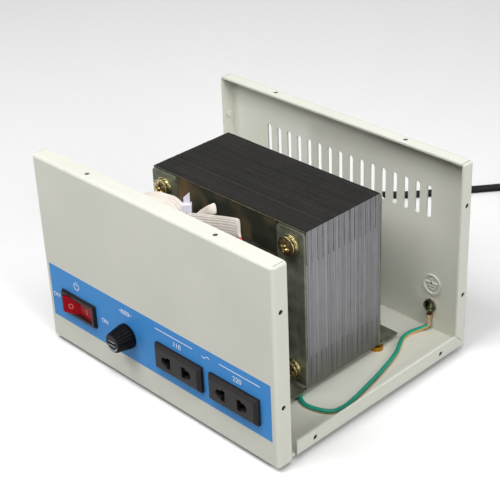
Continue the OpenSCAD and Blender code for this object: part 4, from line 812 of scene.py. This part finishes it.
def printedBand():
    s = printSettings
    z = frontRow["z"]
    openings = [barLoop(frontRow["switch"], z, *s["switchOpening"]),
                ringLoop(frontRow["fuse"], z, s["fuseOpening"])]
    openings += [barLoop(x, z, *s["outletOpening"]) for x in frontRow["outlets"]]
    return flatPrint("front_print_band", [boxLoop(*s["band"])] + openings, s["face"], s["thick"])


# words and lines, and the signs for standby over the switch, for a fuse and for alternating current
def printedMarks():
    s = printSettings
    face, thick = s["face"] - s["thick"], s["markThick"]
    w = s["wave"]
    shares = [k / (w["steps"] / 2) - 1 for k in range(w["steps"] + 1)]
    wave = [(w["x"] + w["half"] * t, w["z"] + w["swing"] * math.sin(math.pi * t)) for t in shares]
    shapes = [[boxLoop(start, end, *s["lineZ"])] for start, end in s["lines"]]
    shapes += [[arcLoop(*s["standbyRing"])], [boxLoop(*s["standbyStem"])],
               [boxLoop(*edges) for edges in s["fuseFrame"]], [boxLoop(*s["fuseWire"])],
               [[(x, z + w["thick"]) for x, z in wave] + [(x, z - w["thick"]) for x, z in reversed(wave)]]]
    meshes = [textPrint(*word, face, thick) for word in s["words"]]
    meshes += [flatPrint("printShape", loops, face, thick) for loops in shapes]
    return joinMeshes("front_print_marks", meshes)


addPiece("front_print_band", printedBand(), blueInk)
addPiece("front_print_marks", printedMarks(), whiteInk)
print("front panel printed")

# Marks on the rocker
rockerSettings = {"pivotY": -78.5, "faceDepth": 3.0, "slope": 14.3, "along": 6.6, "tilt": 9.0, "thick": 0.05,
                  "ring": (1.7, 1.3), "bar": (0.3, 2.1)}


# lays a mark on one half of the rocker's face, left or right of the pivot
def rockerMark(loops, side):
    s = rockerSettings
    mesh = flatPrint("rockerMark", loops, 0.0, s["thick"])
    slope = math.radians(s["slope"])
    place = Vector((side * s["along"], -s["faceDepth"] - math.tan(slope) * s["along"], 0))
    mesh.transform(Matrix.Translation(place * mm) @ Matrix.Rotation(-slope * side, 4, "Z"))
    pivot = Vector((frontRow["switch"], s["pivotY"], frontRow["z"]))
    mesh.transform(Matrix.Translation(pivot * mm) @ Matrix.Rotation(math.radians(s["tilt"]), 4, "Z"))
    return mesh


rockerMarks = [rockerMark([ringLoop(0, 0, radius) for radius in rockerSettings["ring"]], -1),
               rockerMark([barLoop(0, 0, *rockerSettings["bar"])], 1)]
addPiece("rocker_marks", joinMeshes("rocker_marks", rockerMarks), rockerPrint, "rocker")

# Laminated core
coreSettings = {
    "width": 126.0, "height": 103.7, "leg": 21.0, "middle": (3.5, 61.55), "frontY": -22.5, "thickness": 0.52,
    "hole": 3.4, "holeSides": 14, "joint": 0.05, "frontGap": 0.02,
    "values": {"Groups": 28, "Sheets per group": 4, "Pitch": 0.5536 * mm, "Group shift": 0.05 * mm,
               "Group rise": 0.04 * mm, "Sheet shift": 0.04 * mm, "Edge line": 0.0, "Seed": 7},
}


# stacks the sheet it is given: every second group upside down, each group and sheet pushed a little out of
# line. "sheetShade" gives each sheet its tone, and with "Edge line" at 1 the first sheet of a group gets none
def sheetStackTree(material):
    tree, add, inputs = newTree("sheetStack", coreSettings["values"])
    perGroup = inputs["Sheets per group"]
    step = add("CombineXYZ", {"Y": inputs["Pitch"]})
    line, index, group, odd = rowsOfPoints(add, inputs["Groups"], perGroup, step)
    shifts = []
    for x, z, source in (("Group shift", "Group rise", group), ("Sheet shift", "Sheet shift", index)):
        most = add("CombineXYZ", {"X": inputs[x], "Z": inputs[z]})
        least = add("VectorMath SCALE", {0: most, "Scale": -1.0})
        shifts.append(add("FunctionNodeRandomValue", {
            "data_type": "FLOAT_VECTOR", 0: least, 1: most, "ID": source, "Seed": inputs["Seed"]}))
    shift = add("VectorMath ADD", {0: shifts[0], 1: shifts[1]})
    moved = add("GeometryNodeSetPosition", {"Geometry": line, "Offset": shift})
    turn = add("Math MULTIPLY", {0: odd, 1: math.pi})
    turned = add("CombineXYZ", {"Y": turn})
    copies = add("GeometryNodeInstanceOnPoints", {"Points": moved, "Instance": inputs["Geometry"],
                                                  "Rotation": turned})
    shade = add("FunctionNodeRandomValue", {"data_type": "FLOAT", "ID": index, "Seed": inputs["Seed"]})
    within = add("Math MODULO", {0: index, 1: perGroup})
    later = add("Math GREATER_THAN", {0: within, 1: 0.5})
    plain = add("Math SUBTRACT", {0: 1.0, 1: inputs["Edge line"]})
    kept = add("Math MAXIMUM", {0: later, 1: plain})
    shown = add("Math MULTIPLY", {0: shade, 1: kept})
    marked = add("GeometryNodeStoreNamedAttribute", {
        "data_type": "FLOAT", "domain": "INSTANCE", "Name": "sheetShade", "Geometry": copies, "Value": shown})
    endTree(add, marked, material)
    return tree


# one E sheet and one I sheet, each with its two bolt holes
def sheetOutlines():
    s = coreSettings
    w, h, leg = s["width"] / 2, s["height"] / 2, s["leg"]
    low, high = leg - h, h - leg
    e = [(-w, -h), (w, -h), (w, high), (w - leg, high), (w - leg, low), (leg, low), (leg, high), (-leg, high),
         (-leg, low), (leg - w, low), (leg - w, high), (-w, high)]
    holes = [[ringLoop(side * (w - leg / 2), level, s["hole"], s["holeSides"]) for side in (-1, 1)]
             for level in (leg / 2 - h, h - leg / 2)]
    return [e] + holes[0], [boxLoop(-w, w, high + s["joint"], h)] + holes[1]


# a stack of one kind of sheet. Its cut edges stay bare steel, and its broad faces get the varnish
def sheetStack(name, outline, steel, edgeLine):
    s = coreSettings
    sheet = flatPrint(name + "Sheet", outline, s["thickness"] / 2, s["thickness"])
    stack = grownMesh(name, sheet, sheetStackTree(steel), {**s["values"], "Edge line": edgeLine})
    moveMesh(stack, (s["middle"][0], s["frontY"] + s["thickness"] / 2 + s["frontGap"], s["middle"][1]))
    stack.materials.append(sheetVarnish)
    varnished = len(stack.materials) - 1
    for face in stack.polygons:
        if abs(face.normal.y) > 0.7:
            face.material_index = varnished
    return stack


eOutline, iOutline = sheetOutlines()
addPiece("e_sheets", sheetStack("e_sheets", eOutline, eSheetSteel, 0.0), None,
         replaced=("core_e_laminations",))
addPiece("i_sheets", sheetStack("i_sheets", iOutline, iSheetSteel, 1.0), None,
         replaced=("core_i_laminations",))

beadSettings = {"from": -59.0, "to": 66.0, "y": -22.7, "z": 113.25, "waverY": 0.05, "waverZ": 0.06,
                "radius": 0.3, "swell": 0.14, "steps": 90, "sides": 8, "seed": 5}


# varnish that ran together along the front top edge of the core, thicker in places
def varnishBead():
    b = beadSettings
    dice = random.Random(b["seed"])
    path = [(b["from"] + (b["to"] - b["from"]) * k / b["steps"],
             b["y"] + dice.uniform(-b["waverY"], b["waverY"]),
             b["z"] + dice.uniform(-b["waverZ"], b["waverZ"])) for k in range(b["steps"] + 1)]
    radii = [b["radius"] + dice.uniform(-b["swell"], b["swell"]) for _ in path]
    return sweepMesh("varnish_bead", path,
                     lambda share: roundOutline(radii[round(share * b["steps"])], b["sides"]))


addPiece("varnish_bead", varnishBead(), beadVarnish)
print("core stacked")

# Knurl of the fuse cap, and pale marks on its face that are painted highlights of its rim and slot
capSettings = {"baseY": -83.2, "faceY": -93.5, "arc": (4.9, 4.35, 200, 140), "barRise": 1.15,
               "bar": (2.6, 0.2), "markThick": 0.05, "stud": 0.46, "studHeight": 0.34,
               "values": {"Rows": 9, "Studs per row": 48, "Base radius": 7.75 * mm, "Face radius": 5.95 * mm,
                          "Length": 9.2 * mm}}


# sets the stud it is given in rows round a cone along -Y, every second row turned by half a step
def knurlTree(material):
    tree, add, inputs = newTree("knurl", capSettings["values"])
    points, index, row, odd = rowsOfPoints(add, inputs["Rows"], inputs["Studs per row"], (0.0, 0.0, 1.0))
    turned = add("Math MULTIPLY_ADD", {0: odd, 1: 0.5, 2: index})
    share = add("Math DIVIDE", {0: turned, 1: inputs["Studs per row"]})
    angle = add("Math MULTIPLY", {0: share, 1: 2 * math.pi})
    along = add("Math ADD", {0: row, 1: 0.5})
    along = add("Math DIVIDE", {0: along, 1: inputs["Rows"]})
    radius = add("MapRange", {"Value": along, "To Min": inputs["Base radius"],
                              "To Max": inputs["Face radius"]})
    depth = add("Math MULTIPLY", {0: along, 1: inputs["Length"]})
    back = add("Math MULTIPLY", {0: depth, 1: -1.0})
    x, z = [add("Math MULTIPLY", {0: add("Math " + wave, {0: angle}), 1: radius})
            for wave in ("COSINE", "SINE")]
    place = add("CombineXYZ", {"X": x, "Y": back, "Z": z})
    moved = add("GeometryNodeSetPosition", {"Geometry": points, "Position": place})
    outward = add("Math SUBTRACT", {0: math.pi / 2, 1: angle})
    turn = add("CombineXYZ", {"Y": outward})
    studs = add("GeometryNodeInstanceOnPoints", {"Points": moved, "Instance": inputs["Geometry"],
                                                 "Rotation": turn})
    endTree(add, studs, material)
    return tree


# a low pyramid on a square foot, which is sunk into the cap
def studMesh():
    half, height = capSettings["stud"] * mm, capSettings["studHeight"] * mm
    mesh = bpy.data.meshes.new("stud")
    foot = [(x, y, -height / 2) for x, y in ((-half, -half), (half, -half), (half, half), (-half, half))]
    mesh.from_pydata(foot + [(0, 0, height)], [], [(3, 2, 1, 0), (0, 1, 4), (1, 2, 4), (2, 3, 4), (3, 0, 4)])
    return mesh


# a pale arc and two bars on the cap's face: painted highlights
def capMark():
    c = capSettings
    x, z = frontRow["fuse"], frontRow["z"]
    loops = [arcLoop(x, z, *c["arc"])] + [barLoop(x, z + side * c["barRise"], *c["bar"]) for side in (-1, 1)]
    return joinMeshes("cap_mark", [
        flatPrint("capMark", [loop], c["faceY"], c["markThick"]) for loop in loops])


knurl = grownMesh("cap_knurl", studMesh(), knurlTree(phenolic), capSettings["values"])
moveMesh(knurl, (frontRow["fuse"], capSettings["baseY"], frontRow["z"]))
addPiece("cap_knurl", knurl, None, "cap")
addPiece("cap_mark", capMark(), capPrint, "cap")
print("fuse cap knurled")

# Tapped bosses behind the cover's screw holes, and dark discs in the holes that are painted shade
bossSides = 20
bossSettings = {
    "screw_bosses": {"finish": paint, "radius": 2.1, "from": 0.25, "to": 0.9, "chamfer": 0.25},
    # dark discs that fill the screw holes: painted shade
    "screw_bores": {"finish": holeShade, "radius": 1.42, "from": -0.75, "to": 0.35, "chamfer": 0.02},
}
holeSettings = {"topX": (-53.5, 53.5), "topZ": 128.75, "flangeY": (-76.35, 76.85), "sideX": 98.75,
                "sideZ": (42, 102), "baseY": (-52.5, 57.5), "baseZ": 9.1}


# a short closed cylinder along +Z with a chamfer on its last edge
def discMesh(s):
    work = bmesh.new()
    radius, end, chamfer = s["radius"], s["to"], s["chamfer"]
    rings = [[work.verts.new((x * mm, y * mm, z * mm)) for x, y in roundOutline(size, bossSides)]
             for size, z in ((radius, s["from"]), (radius, end - chamfer), (radius - chamfer, end))]
    for first, second in zip(rings, rings[1:]):
        for k in range(bossSides):
            following = (k + 1) % bossSides
            work.faces.new((first[k], first[following], second[following], second[k]))
    work.faces.new(list(reversed(rings[0])))
    work.faces.new(rings[-1])
    return finishMesh(work, "disc")


# one point at the inner face of each screw hole, which carries the turn that faces its disc inwards
def coverHoles():
    s = holeSettings
    holes = [((x, y, s["topZ"]), (math.pi, 0, 0)) for x in s["topX"] for y in s["flangeY"]]
    for side in (-1, 1):
        spots = [(y, z) for y in s["flangeY"] for z in s["sideZ"]] + [(y, s["baseZ"]) for y in s["baseY"]]
        holes += [((side * s["sideX"], y, z), (0, -side * math.pi / 2, 0)) for y, z in spots]
    mesh = bpy.data.meshes.new("coverHoles")
    mesh.from_pydata([Vector(place) * mm for place, turn in holes], [], [])
    turns = mesh.attributes.new("turn", "FLOAT_VECTOR", "POINT")
    for value, (place, turn) in zip(turns.data, holes):
        value.vector = turn
    return mesh


# puts a copy of an object at each point, turned by the angles that the point carries
def turnedCopiesTree(material, copied):
    tree, add, inputs = newTree("turnedCopies", {})
    turn = add("GeometryNodeInputNamedAttribute", {"data_type": "FLOAT_VECTOR", "Name": "turn"})
    one = add("GeometryNodeObjectInfo", {"Object": copied}).outputs["Geometry"]
    copies = add("GeometryNodeInstanceOnPoints", {
        "Points": inputs["Geometry"], "Instance": one, "Rotation": turn.outputs["Attribute"]})
    endTree(add, copies, material)
    return tree


for pieceName, boss in bossSettings.items():
    disc = linkedObject("oneDisc", discMesh(boss))
    grown = grownMesh(pieceName, coverHoles(), turnedCopiesTree(boss["finish"], disc), {})
    bpy.data.objects.remove(disc)
    addPiece(pieceName, grown, None)
print("screw bosses set")

# Earth mark on the rear panel
earthSettings = {"x": 74.1, "z": 37.3, "face": 80.3, "relief": 0.8, "ring": (7.0, 5.9), "stem": (-0.4, 4.2),
                 "halfBar": 0.5, "bars": ((4.6, 1.0), (3.4, -0.9), (2.2, -2.8))}


def earthMark():
    s = earthSettings
    x, z, half = s["x"], s["z"], s["halfBar"]
    shapes = [[ringLoop(x, z, radius) for radius in s["ring"]]]
    shapes += [[barLoop(x, z + up, halfWide, half)] for halfWide, up in s["bars"]]
    shapes += [[boxLoop(x - half, x + half, z + s["stem"][0], z + s["stem"][1])]]
    return joinMeshes("earth_mark", [
        flatPrint("earthMark", loops, s["face"], s["relief"]) for loops in shapes])


addPiece("earth_mark", earthMark(), paint)
print("earth mark raised")

# Finishes of the carried-over solids
finishes = (
    (paint, ("front_panel", "chassis_tray")), (footRubber, ("rubber_feet", "cord_strain_relief")),
    (brass, ("switch_terminals", "fuse_holder_terminals", "outlet_1_contacts", "outlet_2_contacts")),
    (phenolic, ("fuse_holder_body", "fuse_cap")), (nylonBlack, ("fuse_holder_nut",)),
    (glass, ("fuse_glass",)), (nickel, ("fuse_end_caps", "plug_pins")),
    (bobbinPlastic, ("bobbin",)), (enamelCopper, ("copper_winding",)),
    (paleZinc, ("clamp_spring_washers", "mounting_spacers")), (spacerBrass, ("rear_corner_pads",)),
    (yellowZinc, ("clamp_nuts", "mounting_screws", "mounting_nuts", "earth_nut")),
    (oliveZinc, ("earth_screw",)), (springSteel, ("earth_star_washer",)), (tinnedCopper, ("earth_lug",)),
    (nylonNatural, ("sleeve_tie",)), (cordPlug, ("plug_body",)),
)
for material, nodeNames in finishes:
    for node in (nodes[nodeName] for nodeName in nodeNames):
        if not node.material_slots:
            node.data.materials.append(material)
        for slot in node.material_slots:
            slot.material = material
print("finishes given")
